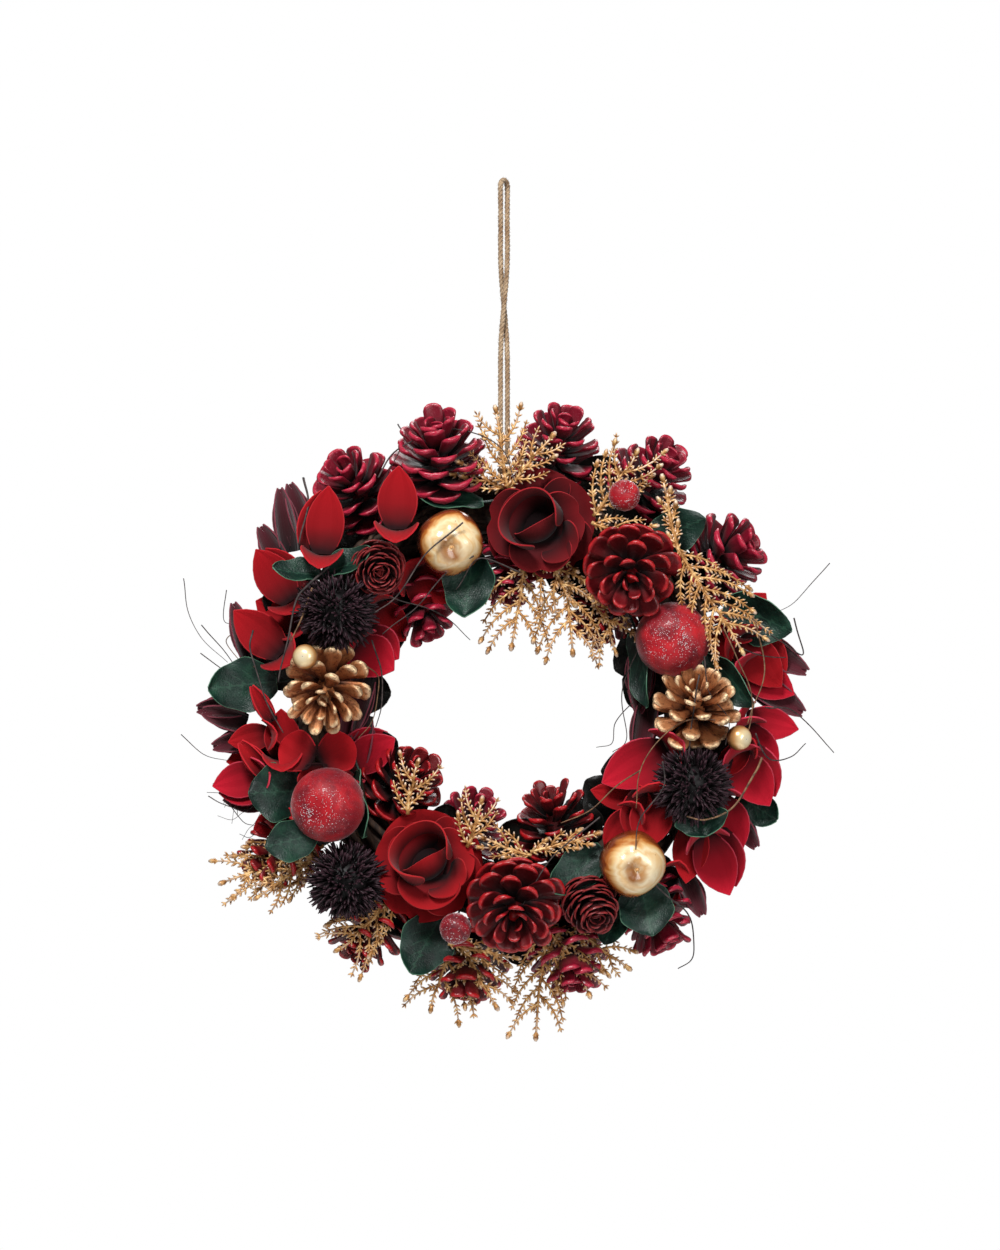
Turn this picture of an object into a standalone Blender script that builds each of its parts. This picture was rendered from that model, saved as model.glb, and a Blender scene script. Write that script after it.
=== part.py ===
"""Door wreath: a vine ring dressed with painted cones, flowers, fruit, leaves and sprigs, on a twine loop.

The origin is the point of the twine loop that bears on a hook. +Z is up, the front faces -Y, the back +Y.
Every trimming sits on the ring's round tube. Its seat is a clock angle (degrees clockwise from the top,
seen from the front) and a lean (degrees round the tube: 0 at the front, 90 at the outer rim, -90 at the
inner rim).
"""

import math
from collections import namedtuple

import bmesh
import bpy
import numpy as np
from mathutils import Matrix, Vector

MM = 0.001
CLEARANCE = 0.4 * MM

# Vine ring: a round tube bent in a circle, pressed flat where it lies on the door.
RING_RADIUS = 110 * MM
TUBE_RADIUS = 21 * MM
FLAT_DEPTH = 5 * MM
RING_STEPS = 44

# Hanging twine.
TWINE_DIAMETER = 3.2 * MM
KNOT_RADIUS = 4.5 * MM
KNOT_LEAN = 60
WRAP_WIDTH = 10 * MM
TIP_TRAVEL = 25

# Trimmings. Length is along the piece's own axis, away from the ring.
BIG_CONE_WIDTH, BIG_CONE_LENGTH = 54 * MM, 50 * MM
CONE_WIDTH, CONE_LENGTH = 45 * MM, 45 * MM
GOLD_CONE_WIDTH, GOLD_CONE_LENGTH = 50 * MM, 44 * MM
ROSETTE_WIDTH, ROSETTE_LENGTH = 33 * MM, 33 * MM
ROSE_WIDTH, ROSE_LENGTH = 62 * MM, 34 * MM
GOLD_APPLE_WIDTH, FROSTED_APPLE_WIDTH = 38 * MM, 43 * MM
FROSTED_BERRY_WIDTH, GOLD_BERRY_WIDTH = 18 * MM, 14.5 * MM
POD_WIDTH = 42 * MM
FLOWER_WIDTH, FLOWER_LENGTH, PETAL_THICKNESS = 34 * MM, 36 * MM, 1.2 * MM
LEAF_WIDTH, LEAF_LENGTH, LEAF_THICKNESS = 28 * MM, 44 * MM, 1.0 * MM
SPRIG_WIDTH, SPRIG_LENGTH, SPRIG_THICKNESS = 38 * MM, 58 * MM, 1.4 * MM
STEM_RADIUS = 1.5 * MM
FOOT_RADIUS = 2.5 * MM

# One side of the hanging loop, top to bottom, in mm; the other side is its half turn about the vertical.
TWINE_CROWN = (0, 0, 1.6)
TWINE_SIDE = [
    (1.4, 2.4, 0.4),
    (2.0, 3.5, -2.4),
    (2.0, 2.6, -9),
    (1.9, 1.5, -18),
    (1.9, 0.6, -27),
    (2.0, 0.0, -36),
    (1.9, -0.7, -45),
    (1.5, -1.4, -54),
    (0.8, -1.9, -63),
    (0.0, -2.0, -71),
    (-0.8, -1.9, -80),
    (-1.5, -1.4, -89),
    (-1.9, -0.7, -98),
    (-2.0, 0.0, -108),
    (-2.0, 0.3, -118),
    (-2.0, 0.1, -130),
    (-2.0, 0.0, -142),
    (-2.0, 0.0, -152),
    (-2.0, 0.0, -163),
]

KNOT_CENTRE = Vector((0, 0, TWINE_SIDE[-1][2] * MM - CLEARANCE - KNOT_RADIUS))
KNOT_REACH = TUBE_RADIUS + CLEARANCE + KNOT_RADIUS

# The upper berry stands between two cones, so wider cones give it a longer stem.
UPPER_BERRY_LIFT = 0.6 * CONE_WIDTH / MM - 3

Seat = namedtuple("Seat", "name kind clock lean lift swing", defaults=(0, 0))

# Name, kind, clock, lean, lift off the ring in mm, and swing of the axis along the ring in degrees.
SEATS = [
    Seat("red_cone_front_1", "big_cone", 43, -8, 0, 8),
    Seat("red_cone_front_2", "big_cone", 178, 10, 0, 0),
    Seat("red_cone_outer_1", "cone", 11, 82, 2, -6),
    Seat("red_cone_outer_2", "cone", 33, 86, 4, 0),
    Seat("red_cone_outer_3", "cone", 56, 86, 2, 0),
    Seat("red_cone_outer_4", "cone", 146, 86, 4, 10),
    Seat("red_cone_outer_5", "cone", 163, 84, 3, 0),
    Seat("red_cone_outer_6", "cone", 188, 84, 3, 0),
    Seat("red_cone_outer_7", "cone", 213, 90, 2, 0),
    Seat("red_cone_outer_8", "cone", 236, 84, 6, 0),
    Seat("red_cone_outer_9", "cone", 322, 86, 0, 0),
    Seat("red_cone_outer_10", "big_cone", 346, 60, 0, 8),
    Seat("red_cone_inner_1", "cone", 46, -80, 4, 0),
    Seat("red_cone_inner_2", "cone", 154, -80, 1, -6),
    Seat("red_cone_inner_3", "cone", 196, -80, 3, 0),
    Seat("red_cone_inner_4", "cone", 230, -80, 2, 6),
    Seat("red_cone_inner_5", "cone", 319, -84, 8, 0),
    Seat("red_cone_inner_6", "cone", 358, -84, 8, 0),
    Seat("gold_cone_left", "gold_cone", 271, -8, 0, 0),
    Seat("gold_cone_right", "gold_cone", 92, 2, 0, 0),
    Seat("rosette_cone_upper", "rosette", 317, -2, 2, 0),
    Seat("rosette_cone_lower", "rosette", 156, 28, 4, 0),
    Seat("red_rose_upper", "rose", 12, -11, 2, 0),
    Seat("red_rose_lower", "rose", 206, -8, 2, 0),
    Seat("gold_apple_upper", "gold_apple", 342, -14, 2, 0),
    Seat("gold_apple_lower", "gold_apple", 141, 15, 2, 0),
    Seat("frosted_apple_left", "frosted_apple", 241, 12, 0, 0),
    Seat("frosted_apple_right", "frosted_apple", 69, -8, 0, 0),
    Seat("frosted_berry_upper", "frosted_berry", 29, 36, UPPER_BERRY_LIFT, 0),
    Seat("frosted_berry_lower", "frosted_berry", 192, 30, 26, 0),
    Seat("gold_berry_left", "gold_berry", 283, 7, 36, 0),
    Seat("gold_berry_right", "gold_berry", 97, 30, 32, 0),
    Seat("spiky_pod_upper", "pod", 298, 0, 0, 0),
    Seat("spiky_pod_lower", "pod", 222, 48, 2, 0),
    Seat("spiky_pod_right", "pod", 112, 14, 0, 0),
    Seat("petal_flower_1", "flower", 73, 70, 0, 10),
    Seat("petal_flower_2", "flower", 86, 78, 10, 8),
    Seat("petal_flower_3", "flower", 100, 66, 6, 8),
    Seat("petal_flower_4", "flower", 116, 66, 8, 8),
    Seat("petal_flower_5", "flower", 132, 64, 8, 12),
    Seat("petal_flower_6", "flower", 122, -30, 0, 0),
    Seat("petal_flower_7", "flower", 256, -4, 20, 0),
    Seat("petal_flower_8", "flower", 256, 66, 12, 0),
    Seat("petal_flower_9", "flower", 284, 66, 0, 12),
    Seat("petal_flower_10", "flower", 298, 68, 2, 16),
    Seat("petal_flower_11", "flower", 311, 60, 0, 20),
    Seat("petal_flower_12", "flower", 302, -46, 0, 0),
    Seat("leaf_1", "leaf", 66, 62, 8, 16),
    Seat("leaf_2", "leaf", 113, 86, 12, 0),
    Seat("leaf_3", "leaf", 199, 58, 0, 10),
    Seat("leaf_4", "leaf", 273, 78, 0, 0),
    Seat("leaf_5", "leaf", 338, -56, 0, 0),
    Seat("gold_sprig_1", "sprig", 26, 58, 4, 0),
    Seat("gold_sprig_2", "sprig", 24, -66, 4, 0),
    Seat("gold_sprig_3", "sprig", 168, 60, 6, 0),
    Seat("gold_sprig_4", "sprig", 239, 58, 8, 0),
]

# What each kind takes up, as spheres (across, depth, out from its seat, radius), used to give neighbours room.
HALF_ROSE, HALF_FLOWER = ROSE_WIDTH / 2, FLOWER_WIDTH / 2


def ball_room(width, length):
    """The two spheres that hold a cone: its widest part and its tip."""
    return [(0, 0, 0.42 * length, width / 2), (0, 0, 0.82 * length, 0.24 * width)]


def fan_room(width, length, thickness, rows=4):
    """Small spheres spread over a flat leaf or sprig."""
    return [
        (side * width * 0.42, 0, length * (row + 0.6) / rows, thickness + MM)
        for row in range(rows)
        for side in (-1, -0.4, 0.4, 1)
    ]


def stem_room(length):
    """Small spheres down a wire stem."""
    return [(0, 0, -height * MM, STEM_RADIUS + 0.5 * MM) for height in range(3, round(length), 4)]


def rose_room():
    rim = 0.56 * HALF_ROSE
    around = [math.tau * k / 8 for k in range(8)]
    spheres = [(rim * math.cos(a), rim * math.sin(a), 0.55 * ROSE_LENGTH, 0.46 * HALF_ROSE) for a in around]
    return spheres + [(0, 0, 0.5 * ROSE_LENGTH, 0.52 * ROSE_LENGTH)]


ROOM = {
    "big_cone": ball_room(BIG_CONE_WIDTH, BIG_CONE_LENGTH),
    "cone": ball_room(CONE_WIDTH, CONE_LENGTH),
    "gold_cone": ball_room(GOLD_CONE_WIDTH, GOLD_CONE_LENGTH),
    "rosette": [(0, 0, 0.5 * ROSETTE_LENGTH, 0.54 * ROSETTE_WIDTH)],
    "rose": rose_room(),
    "gold_apple": [(0, 0, 0.48 * GOLD_APPLE_WIDTH, 0.51 * GOLD_APPLE_WIDTH)],
    "frosted_apple": [(0, 0, 0.48 * FROSTED_APPLE_WIDTH, 0.51 * FROSTED_APPLE_WIDTH)],
    "frosted_berry": [(0, 0, 0.5 * FROSTED_BERRY_WIDTH, 0.52 * FROSTED_BERRY_WIDTH), *stem_room(30)],
    "gold_berry": [(0, 0, 0.5 * GOLD_BERRY_WIDTH, 0.52 * GOLD_BERRY_WIDTH), *stem_room(32)],
    "pod": [(0, 0, 0.5 * POD_WIDTH, 0.5 * POD_WIDTH)],
    "flower": [
        (0, 0, 0.50 * FLOWER_LENGTH, HALF_FLOWER + 0.4 * MM),
        (0, 0, 0.80 * FLOWER_LENGTH, 0.72 * HALF_FLOWER),
    ],
    "leaf": fan_room(LEAF_WIDTH, LEAF_LENGTH, LEAF_THICKNESS),
    "sprig": fan_room(SPRIG_WIDTH, SPRIG_LENGTH, SPRIG_THICKNESS),
}


# ---------------------------------------------------------------- the ring's own geometry


def directions(clock, lean):
    """Unit vectors at a seat: outward from the ring's centre, along it, across the seat, and off the tube."""
    outward = Vector((math.sin(clock), 0, math.cos(clock)))
    along = Vector((math.cos(clock), 0, -math.sin(clock)))
    front = Vector((0, -1, 0))
    off = front * math.cos(lean) + outward * math.sin(lean)
    across = outward * math.cos(lean) - front * math.sin(lean)
    return outward, along, across, off


KNOT_DIRECTION = directions(0, math.radians(KNOT_LEAN))[3]
RING_CENTRE = KNOT_CENTRE - KNOT_DIRECTION * KNOT_REACH - Vector((0, 0, RING_RADIUS))
BACK_Y = RING_CENTRE.y + TUBE_RADIUS - FLAT_DEPTH


def seat_matrix(clock, lean, lift, swing):
    """The seat's frame: X along the ring, Y across, Z the piece's axis, the origin at its body's foot."""
    outward, along, across, off = directions(clock, lean)
    clear = CLEARANCE + FOOT_RADIUS * math.sin(abs(swing))
    foot = RING_CENTRE + outward * RING_RADIUS + off * (TUBE_RADIUS + clear + lift)
    turned = Matrix((along, across, off)).transposed() @ Matrix.Rotation(swing, 3, "Y")
    return Matrix.Translation(foot) @ turned.to_4x4()


def smooth_route(points, per_span):
    """Points read from a Catmull-Rom curve through the given ones."""
    ends = [points[0] * 2 - points[1], *points, points[-1] * 2 - points[-2]]
    route = []
    for before, start, end, after in zip(ends, ends[1:], ends[2:], ends[3:]):
        for step in range(per_span):
            t = step / per_span
            route.append(
                0.5
                * (
                    2 * start
                    + (end - before) * t
                    + (2 * before - 5 * start + 4 * end - after) * t**2
                    + (3 * start - before - 3 * end + after) * t**3
                )
            )
    return [*route, points[-1]]


def twine_route():
    side = [Vector(p) * MM for p in TWINE_SIDE]
    other = [Vector((-p.x, -p.y, p.z)) for p in side]
    return smooth_route([*reversed(side), Vector(TWINE_CROWN) * MM, *other], 2)


# ---------------------------------------------------------------- giving neighbours room


def twine_obstacles():
    """Spheres that fill the knot and the twine's path as the wreath tips on its knot."""
    spheres = [(*KNOT_CENTRE, KNOT_RADIUS + 2 * MM)]
    for degrees in range(-TIP_TRAVEL, TIP_TRAVEL + 1, 5):
        up = Matrix.Rotation(math.radians(degrees), 3, "X") @ Vector((0, 0, 1))
        for height in range(10, 60, 5):
            spheres.append((*(KNOT_CENTRE + up * height * MM), TWINE_DIAMETER + 2 * MM))
    return np.array(spheres)


def make_room(seats, rounds=400):
    """Shifts crowded seats until no two pieces share a sphere and none reaches behind the ring's flat back."""
    state = np.array([(math.radians(s.clock), math.radians(s.lean), s.lift * MM) for s in seats])
    owner = np.concatenate([[i] * len(ROOM[s.kind]) for i, s in enumerate(seats)])
    local = np.concatenate([np.array(ROOM[s.kind]) for s in seats])
    fixed = twine_obstacles()
    for _ in range(rounds):
        frames = [seat_matrix(*state[i], math.radians(s.swing)) for i, s in enumerate(seats)]
        turn = np.array([m.to_3x3() for m in frames])[owner]
        place = np.array([m.translation for m in frames])[owner]
        centre = np.einsum("nij,nj->ni", turn, local[:, :3]) + place
        others = np.concatenate([centre, fixed[:, :3]])
        radii = np.concatenate([local[:, 3], fixed[:, 3]])
        apart = centre[:, None] - others[None]
        gap = np.linalg.norm(apart, axis=2)
        overlap = local[:, 3][:, None] + radii[None] + CLEARANCE - gap
        overlap[:, : len(centre)][owner[:, None] == owner[None]] = 0
        overlap = np.maximum(overlap, 0)
        push = (apart / np.maximum(gap, 1e-6)[..., None]) * overlap[..., None]
        behind = np.maximum(centre[:, 1] + local[:, 3] - BACK_Y, 0)
        push[:, -1] += np.outer(behind, (0, -1, 0))
        for i in range(len(seats)):
            mine = push[owner == i].reshape(-1, 3)
            strong = np.linalg.norm(mine, axis=1)
            if strong.max() == 0:
                continue
            shift = Vector(mine[np.argsort(strong)[-3:]].sum(axis=0)) * 0.35
            outward, along, across, off = directions(state[i][0], state[i][1])
            reach = TUBE_RADIUS + 0.5 * CONE_LENGTH
            state[i] += (shift.dot(along) / RING_RADIUS, shift.dot(across) / reach, shift.dot(off) * 0.5)
            state[i][2] = max(state[i][2], 0)
    return state


# ---------------------------------------------------------------- materials and shared steps


def material(name, colour, roughness, metallic=0.0):
    made = bpy.data.materials.new(name)
    made.use_nodes = True
    shader = made.node_tree.nodes["Principled BSDF"]
    shader.inputs["Base Color"].default_value = (*colour, 1)
    shader.inputs["Roughness"].default_value = roughness
    shader.inputs["Metallic"].default_value = metallic
    return made


def make_materials():
    return {
        "vine": material("vine", (0.10, 0.06, 0.04), 0.8),
        "twine": material("twine", (0.50, 0.36, 0.24), 0.9),
        "red_paint": material("red_paint", (0.26, 0.01, 0.03), 0.4),
        "gold_paint": material("gold_paint", (0.55, 0.30, 0.10), 0.35, 0.8),
        "gold_gloss": material("gold_gloss", (0.80, 0.55, 0.25), 0.25, 0.9),
        "red_shaving": material("red_shaving", (0.45, 0.01, 0.02), 0.8),
        "frosted_red": material("frosted_red", (0.50, 0.02, 0.03), 0.6),
        "burgundy_bristle": material("burgundy_bristle", (0.05, 0.01, 0.02), 0.7),
        "green_leaf": material("green_leaf", (0.02, 0.08, 0.04), 0.5),
    }


def add(name, data, finish, collection, matrix=None):
    """A named object in the wreath's collection, with its material and place."""
    obj = bpy.data.objects.new(name, data)
    collection.objects.link(obj)
    if matrix is not None:
        obj.matrix_world = matrix
    data.materials.append(finish)
    return obj


def mesh_from(name, build):
    """A mesh made by a function that fills a bmesh, smooth but for its sharp edges."""
    bm = bmesh.new()
    build(bm)
    mesh = bpy.data.meshes.new(name)
    bm.to_mesh(mesh)
    bm.free()
    mesh.shade_smooth()
    mesh.set_sharp_from_angle(angle=math.radians(40))
    return mesh


def profile_mesh(name, points):
    """An open chain of edges in the XZ plane, from the top of a turned shape down its outer side."""

    def build(bm):
        chain = [bm.verts.new((x, 0, z)) for x, z in points]
        for start, end in zip(chain, chain[1:]):
            bm.edges.new((start, end))

    return mesh_from(name, build)


def turned(name, points, finish, collection, matrix, steps=10):
    """A solid of revolution about its own Z axis."""
    obj = add(name, profile_mesh(name, points), finish, collection, matrix)
    screw = obj.modifiers.new("turn", "SCREW")
    screw.steps = screw.render_steps = steps
    screw.use_merge_vertices = True
    screw.merge_threshold = 0.00005
    return obj


def stem_points(lift):
    """The foot of a profile, with a stem that reaches the ring if the body stands off it."""
    if lift < 0.1 * MM:
        return [(FOOT_RADIUS, 0), (0, 0)]
    return [(FOOT_RADIUS, 0), (STEM_RADIUS, -0.1 * lift), (STEM_RADIUS, -lift), (0, -lift)]


# ---------------------------------------------------------------- the ring and its twine


def section_outline(grow=0.0):
    """Half of the tube's section and its flat back, as (radial, back) offsets from the tube's centre."""
    radius = TUBE_RADIUS + grow
    back = TUBE_RADIUS - FLAT_DEPTH + grow
    edge = math.acos(back / radius)
    angles = [edge + (math.tau - 2 * edge) * k / 18 for k in range(19)]
    return [(radius * math.sin(a), radius * math.cos(a)) for a in angles]


def vine_ring(finish, collection, cutters):
    """The ring: its section spun about the Y axis, with a groove at the top that the twine wrap lies in."""

    def build(bm):
        outline = [bm.verts.new((RING_RADIUS + radial, back, 0)) for radial, back in section_outline()]
        loop = [bm.edges.new(pair) for pair in zip(outline, outline[1:] + outline[:1])]
        bmesh.ops.spin(
            bm, geom=[*outline, *loop], cent=(0, 0, 0), axis=(0, 1, 0), angle=math.tau, steps=RING_STEPS,
            use_merge=True,
        )
        bmesh.ops.recalc_face_normals(bm, faces=bm.faces)

    ring = add("vine_ring", mesh_from("vine_ring", build), finish, collection, Matrix.Translation(RING_CENTRE))
    groove = band("groove", WRAP_WIDTH + 2 * CLEARANCE, TWINE_DIAMETER + CLEARANCE, 6 * MM)
    cutters.objects.link(groove)
    groove.hide_render = True
    groove.display_type = "WIRE"
    cut = ring.modifiers.new("groove", "BOOLEAN")
    cut.operation = "DIFFERENCE"
    cut.object = groove
    return ring


def band(name, width, depth, proud):
    """A band round the tube at the top of the ring, from depth below the tube's surface to proud above it."""

    def build(bm):
        inner = [bm.verts.new((-width / 2, back, radial)) for radial, back in section_outline(-depth)]
        outer = [bm.verts.new((-width / 2, back, radial)) for radial, back in section_outline(proud)]
        walls = zip(inner, inner[1:] + inner[:1], outer[1:] + outer[:1], outer)
        sides = [bm.faces.new(corners) for corners in walls]
        grown = bmesh.ops.extrude_face_region(bm, geom=sides)
        moved = [v for v in grown["geom"] if isinstance(v, bmesh.types.BMVert)]
        bmesh.ops.translate(bm, verts=moved, vec=(width, 0, 0))
        bmesh.ops.recalc_face_normals(bm, faces=bm.faces)

    obj = bpy.data.objects.new(name, mesh_from(name, build))
    obj.matrix_world = Matrix.Translation(RING_CENTRE + Vector((0, 0, RING_RADIUS)))
    return obj


def twine_wrap(finish, collection):
    wrap = band("twine_wrap", WRAP_WIDTH, TWINE_DIAMETER, 0)
    collection.objects.link(wrap)
    wrap.data.materials.append(finish)
    return wrap


def twine_knot(finish, collection):
    mesh = mesh_from("twine_knot", lambda bm: bmesh.ops.create_uvsphere(
        bm, u_segments=12, v_segments=8, radius=KNOT_RADIUS))
    return add("twine_knot", mesh, finish, collection, Matrix.Translation(KNOT_CENTRE))


def twine_loop(finish, collection):
    curve = bpy.data.curves.new("twine_loop", "CURVE")
    curve.dimensions = "3D"
    curve.bevel_depth = TWINE_DIAMETER / 2
    curve.bevel_resolution = 2
    curve.use_fill_caps = True
    route = twine_route()
    line = curve.splines.new("POLY")
    line.points.add(len(route) - 1)
    for point, place in zip(line.points, route):
        point.co = (*place, 1)
    return add("twine_loop", curve, finish, collection)


# ---------------------------------------------------------------- trimmings


def cone(seat, lift, finish, collection, matrix, width, length):
    """An open pine cone: tiers of scales that widen to the middle and close at the tip."""
    tiers = [(0.10, 1.00), (0.20, 0.92), (0.15, 0.84), (0.34, 0.78), (0.26, 0.66), (0.45, 0.58), (0.36, 0.44),
             (0.49, 0.36), (0.38, 0.24), (0.36, 0.12)]
    points = [(0, length), *((share * width, height * length) for share, height in tiers)]
    points += stem_points(lift)
    return turned(seat.name, points, finish, collection, matrix, steps=8)


def rosette(seat, lift, finish, collection, matrix):
    """A small tight cone with thin scales laid like a rose."""
    half = ROSETTE_WIDTH / 2
    tiers = [(0.30, 0.98), (0.52, 0.92), (0.50, 0.84), (0.80, 0.76), (0.76, 0.66), (0.98, 0.56), (0.92, 0.40),
             (0.92, 0.26), (0.70, 0.10)]
    points = [(0, ROSETTE_LENGTH), *((share * half, height * ROSETTE_LENGTH) for share, height in tiers)]
    points += stem_points(lift)
    return turned(seat.name, points, finish, collection, matrix)


def rose(seat, lift, finish, collection, matrix):
    """A flower of wide curled petals round a rolled heart."""
    steps = [(0.16, 0.86), (0.24, 0.96), (0.36, 0.94), (0.42, 0.66), (0.60, 0.88), (0.70, 0.84), (0.74, 0.56),
             (0.92, 0.72), (0.97, 0.62), (0.80, 0.26), (0.46, 0.06)]
    points = [(0, 0.72 * ROSE_LENGTH), *((share * HALF_ROSE, height * ROSE_LENGTH) for share, height in steps)]
    points += stem_points(lift)
    return turned(seat.name, points, finish, collection, matrix, steps=14)


def apple(seat, lift, finish, collection, matrix, width):
    """An apple seen from its stem end, with a dimple at each end."""
    half, height = width / 2, 0.94 * width
    angles = [math.radians(a) for a in (66, 48, 30, 10, -10, -30, -50, -68)]
    sides = [(half * math.cos(a), height * (0.5 + 0.5 * math.sin(a))) for a in angles]
    points = [(0, 0.86 * height), (0.14 * half, 0.87 * height), *sides]
    points += stem_points(lift)
    return turned(seat.name, points, finish, collection, matrix, steps=12)


def berry(seat, lift, finish, collection, matrix, width):
    """A round berry on its wire stem."""
    half = width / 2
    angles = [math.radians(a) for a in (60, 30, 0, -30, -60)]
    points = [(0, width), *((half * math.cos(a), half + half * math.sin(a)) for a in angles)]
    points += stem_points(lift)
    return turned(seat.name, points, finish, collection, matrix)


def pod(seat, lift, finish, collection, matrix):
    """A round seed pod covered in spikes, the lowest one drawn down to the ring as its stem."""
    core = 0.36 * POD_WIDTH

    def build(bm):
        bmesh.ops.create_icosphere(bm, subdivisions=2, radius=core)
        spikes = bmesh.ops.poke(bm, faces=bm.faces)["verts"]
        for tip in spikes:
            tip.co = tip.co.normalized() * 0.49 * POD_WIDTH
        lowest = min(spikes, key=lambda tip: tip.co.z)
        lowest.co = (0, 0, -0.5 * POD_WIDTH - lift)
        bmesh.ops.translate(bm, verts=bm.verts, vec=(0, 0, 0.5 * POD_WIDTH))

    return add(seat.name, mesh_from(seat.name, build), finish, collection, matrix)


def flower(seat, lift, finish, collection, matrix):
    """A cup of three pointed petals: a turned wall whose rim rises and closes towards each petal's point."""
    petals, columns = 3, 12
    wall = PETAL_THICKNESS / HALF_FLOWER
    outside = [(0.88, 0.76), (0.98, 0.56), (0.84, 0.28), (0.50, 0.06)]
    inside = [(share - wall, height + 0.02) for share, height in reversed(outside)]
    shares = [(0, 0.08), *inside, *outside]

    def build(bm):
        points = [(share * HALF_FLOWER, height * FLOWER_LENGTH) for share, height in shares]
        points += stem_points(lift)
        chain = [bm.verts.new((x, 0, z)) for x, z in points]
        edges = [bm.edges.new(pair) for pair in zip(chain, chain[1:])]
        bmesh.ops.spin(
            bm, geom=[*chain, *edges], cent=(0, 0, 0), axis=(0, 0, 1), angle=math.tau, steps=columns,
            use_merge=True,
        )
        bmesh.ops.remove_doubles(bm, verts=bm.verts, dist=0.01 * MM)
        for vert in bm.verts:
            rise = max(0, vert.co.z / FLOWER_LENGTH - 0.5)
            point = math.cos(petals * math.atan2(vert.co.y, vert.co.x))
            closing = 1 - 0.95 * rise * max(0, point)
            vert.co.x *= closing
            vert.co.y *= closing
            vert.co.z += 0.85 * rise * point * FLOWER_LENGTH
        bmesh.ops.recalc_face_normals(bm, faces=bm.faces)

    return add(seat.name, mesh_from(seat.name, build), finish, collection, matrix)


def flat_piece(name, outline, thickness, finish, collection, matrix):
    """A flat outline with thickness, standing on its seat with its face across the ring."""
    curve = bpy.data.curves.new(name, "CURVE")
    curve.dimensions = "2D"
    curve.fill_mode = "BOTH"
    curve.extrude = thickness / 2
    line = curve.splines.new("POLY")
    line.points.add(len(outline) - 1)
    for point, (x, y) in zip(line.points, outline):
        point.co = (x, y, 0, 1)
    line.use_cyclic_u = True
    upright = Matrix.Rotation(math.radians(90), 4, "X")
    return add(name, curve, finish, collection, matrix @ upright)


def leaf(seat, lift, finish, collection, matrix):
    """A broad leaf on a short stalk."""
    stalk = 1.2 * MM
    count = 7
    side = []
    for k in range(count):
        t = (k + 0.5) / count
        side.append((0.5 * LEAF_WIDTH * math.sin(math.pi * t) ** 0.7, LEAF_LENGTH * (0.14 + 0.84 * t)))
    outline = [(stalk, -lift), *side, (0, LEAF_LENGTH), *((-x, y) for x, y in reversed(side)), (-stalk, -lift)]
    return flat_piece(seat.name, outline, LEAF_THICKNESS, finish, collection, matrix)


def sprig(seat, lift, finish, collection, matrix):
    """A flat frond: a stem with pairs of side shoots, shorter towards the tip."""
    stem, pairs = 1.0 * MM, 6
    side = [(stem, -lift)]
    for k in range(pairs):
        foot = SPRIG_LENGTH * (0.12 + 0.8 * k / pairs)
        reach = 0.5 * SPRIG_WIDTH * (0.55 + 0.9 * k / pairs if k < 3 else 1.45 - 0.2 * k)
        rise = 0.55 * reach
        side += [(stem, foot), (reach, foot + rise)]
        side += [(reach - stem, foot + rise + 2 * stem), (stem, foot + 2.6 * stem)]
    outline = [*side, (0, SPRIG_LENGTH), *((-x, y) for x, y in reversed(side))]
    return flat_piece(seat.name, outline, SPRIG_THICKNESS, finish, collection, matrix)


def trimming(seat, lift, matrix, finishes, collection):
    """Builds one seated piece by its kind."""
    common = (collection, matrix)
    if seat.kind == "big_cone":
        cone(seat, lift, finishes["red_paint"], *common, BIG_CONE_WIDTH, BIG_CONE_LENGTH)
    elif seat.kind == "cone":
        cone(seat, lift, finishes["red_paint"], *common, CONE_WIDTH, CONE_LENGTH)
    elif seat.kind == "gold_cone":
        cone(seat, lift, finishes["gold_paint"], *common, GOLD_CONE_WIDTH, GOLD_CONE_LENGTH)
    elif seat.kind == "rosette":
        rosette(seat, lift, finishes["red_paint"], *common)
    elif seat.kind == "rose":
        rose(seat, lift, finishes["red_shaving"], *common)
    elif seat.kind == "gold_apple":
        apple(seat, lift, finishes["gold_gloss"], *common, GOLD_APPLE_WIDTH)
    elif seat.kind == "frosted_apple":
        apple(seat, lift, finishes["frosted_red"], *common, FROSTED_APPLE_WIDTH)
    elif seat.kind == "frosted_berry":
        berry(seat, lift, finishes["frosted_red"], *common, FROSTED_BERRY_WIDTH)
    elif seat.kind == "gold_berry":
        berry(seat, lift, finishes["gold_gloss"], *common, GOLD_BERRY_WIDTH)
    elif seat.kind == "pod":
        pod(seat, lift, finishes["burgundy_bristle"], *common)
    elif seat.kind == "flower":
        flower(seat, lift, finishes["red_shaving"], *common)
    elif seat.kind == "leaf":
        leaf(seat, lift, finishes["green_leaf"], *common)
    else:
        sprig(seat, lift, finishes["gold_paint"], *common)


def hang_from_knot(pieces, collection):
    """Parents the wreath to an empty at the knot, the point it turns and tips about."""
    pivot = bpy.data.objects.new("knot_pivot", None)
    pivot.location = KNOT_CENTRE
    collection.objects.link(pivot)
    bpy.context.view_layer.update()
    for piece in pieces:
        placed = piece.matrix_world.copy()
        piece.parent = pivot
        piece.matrix_world = placed


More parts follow.
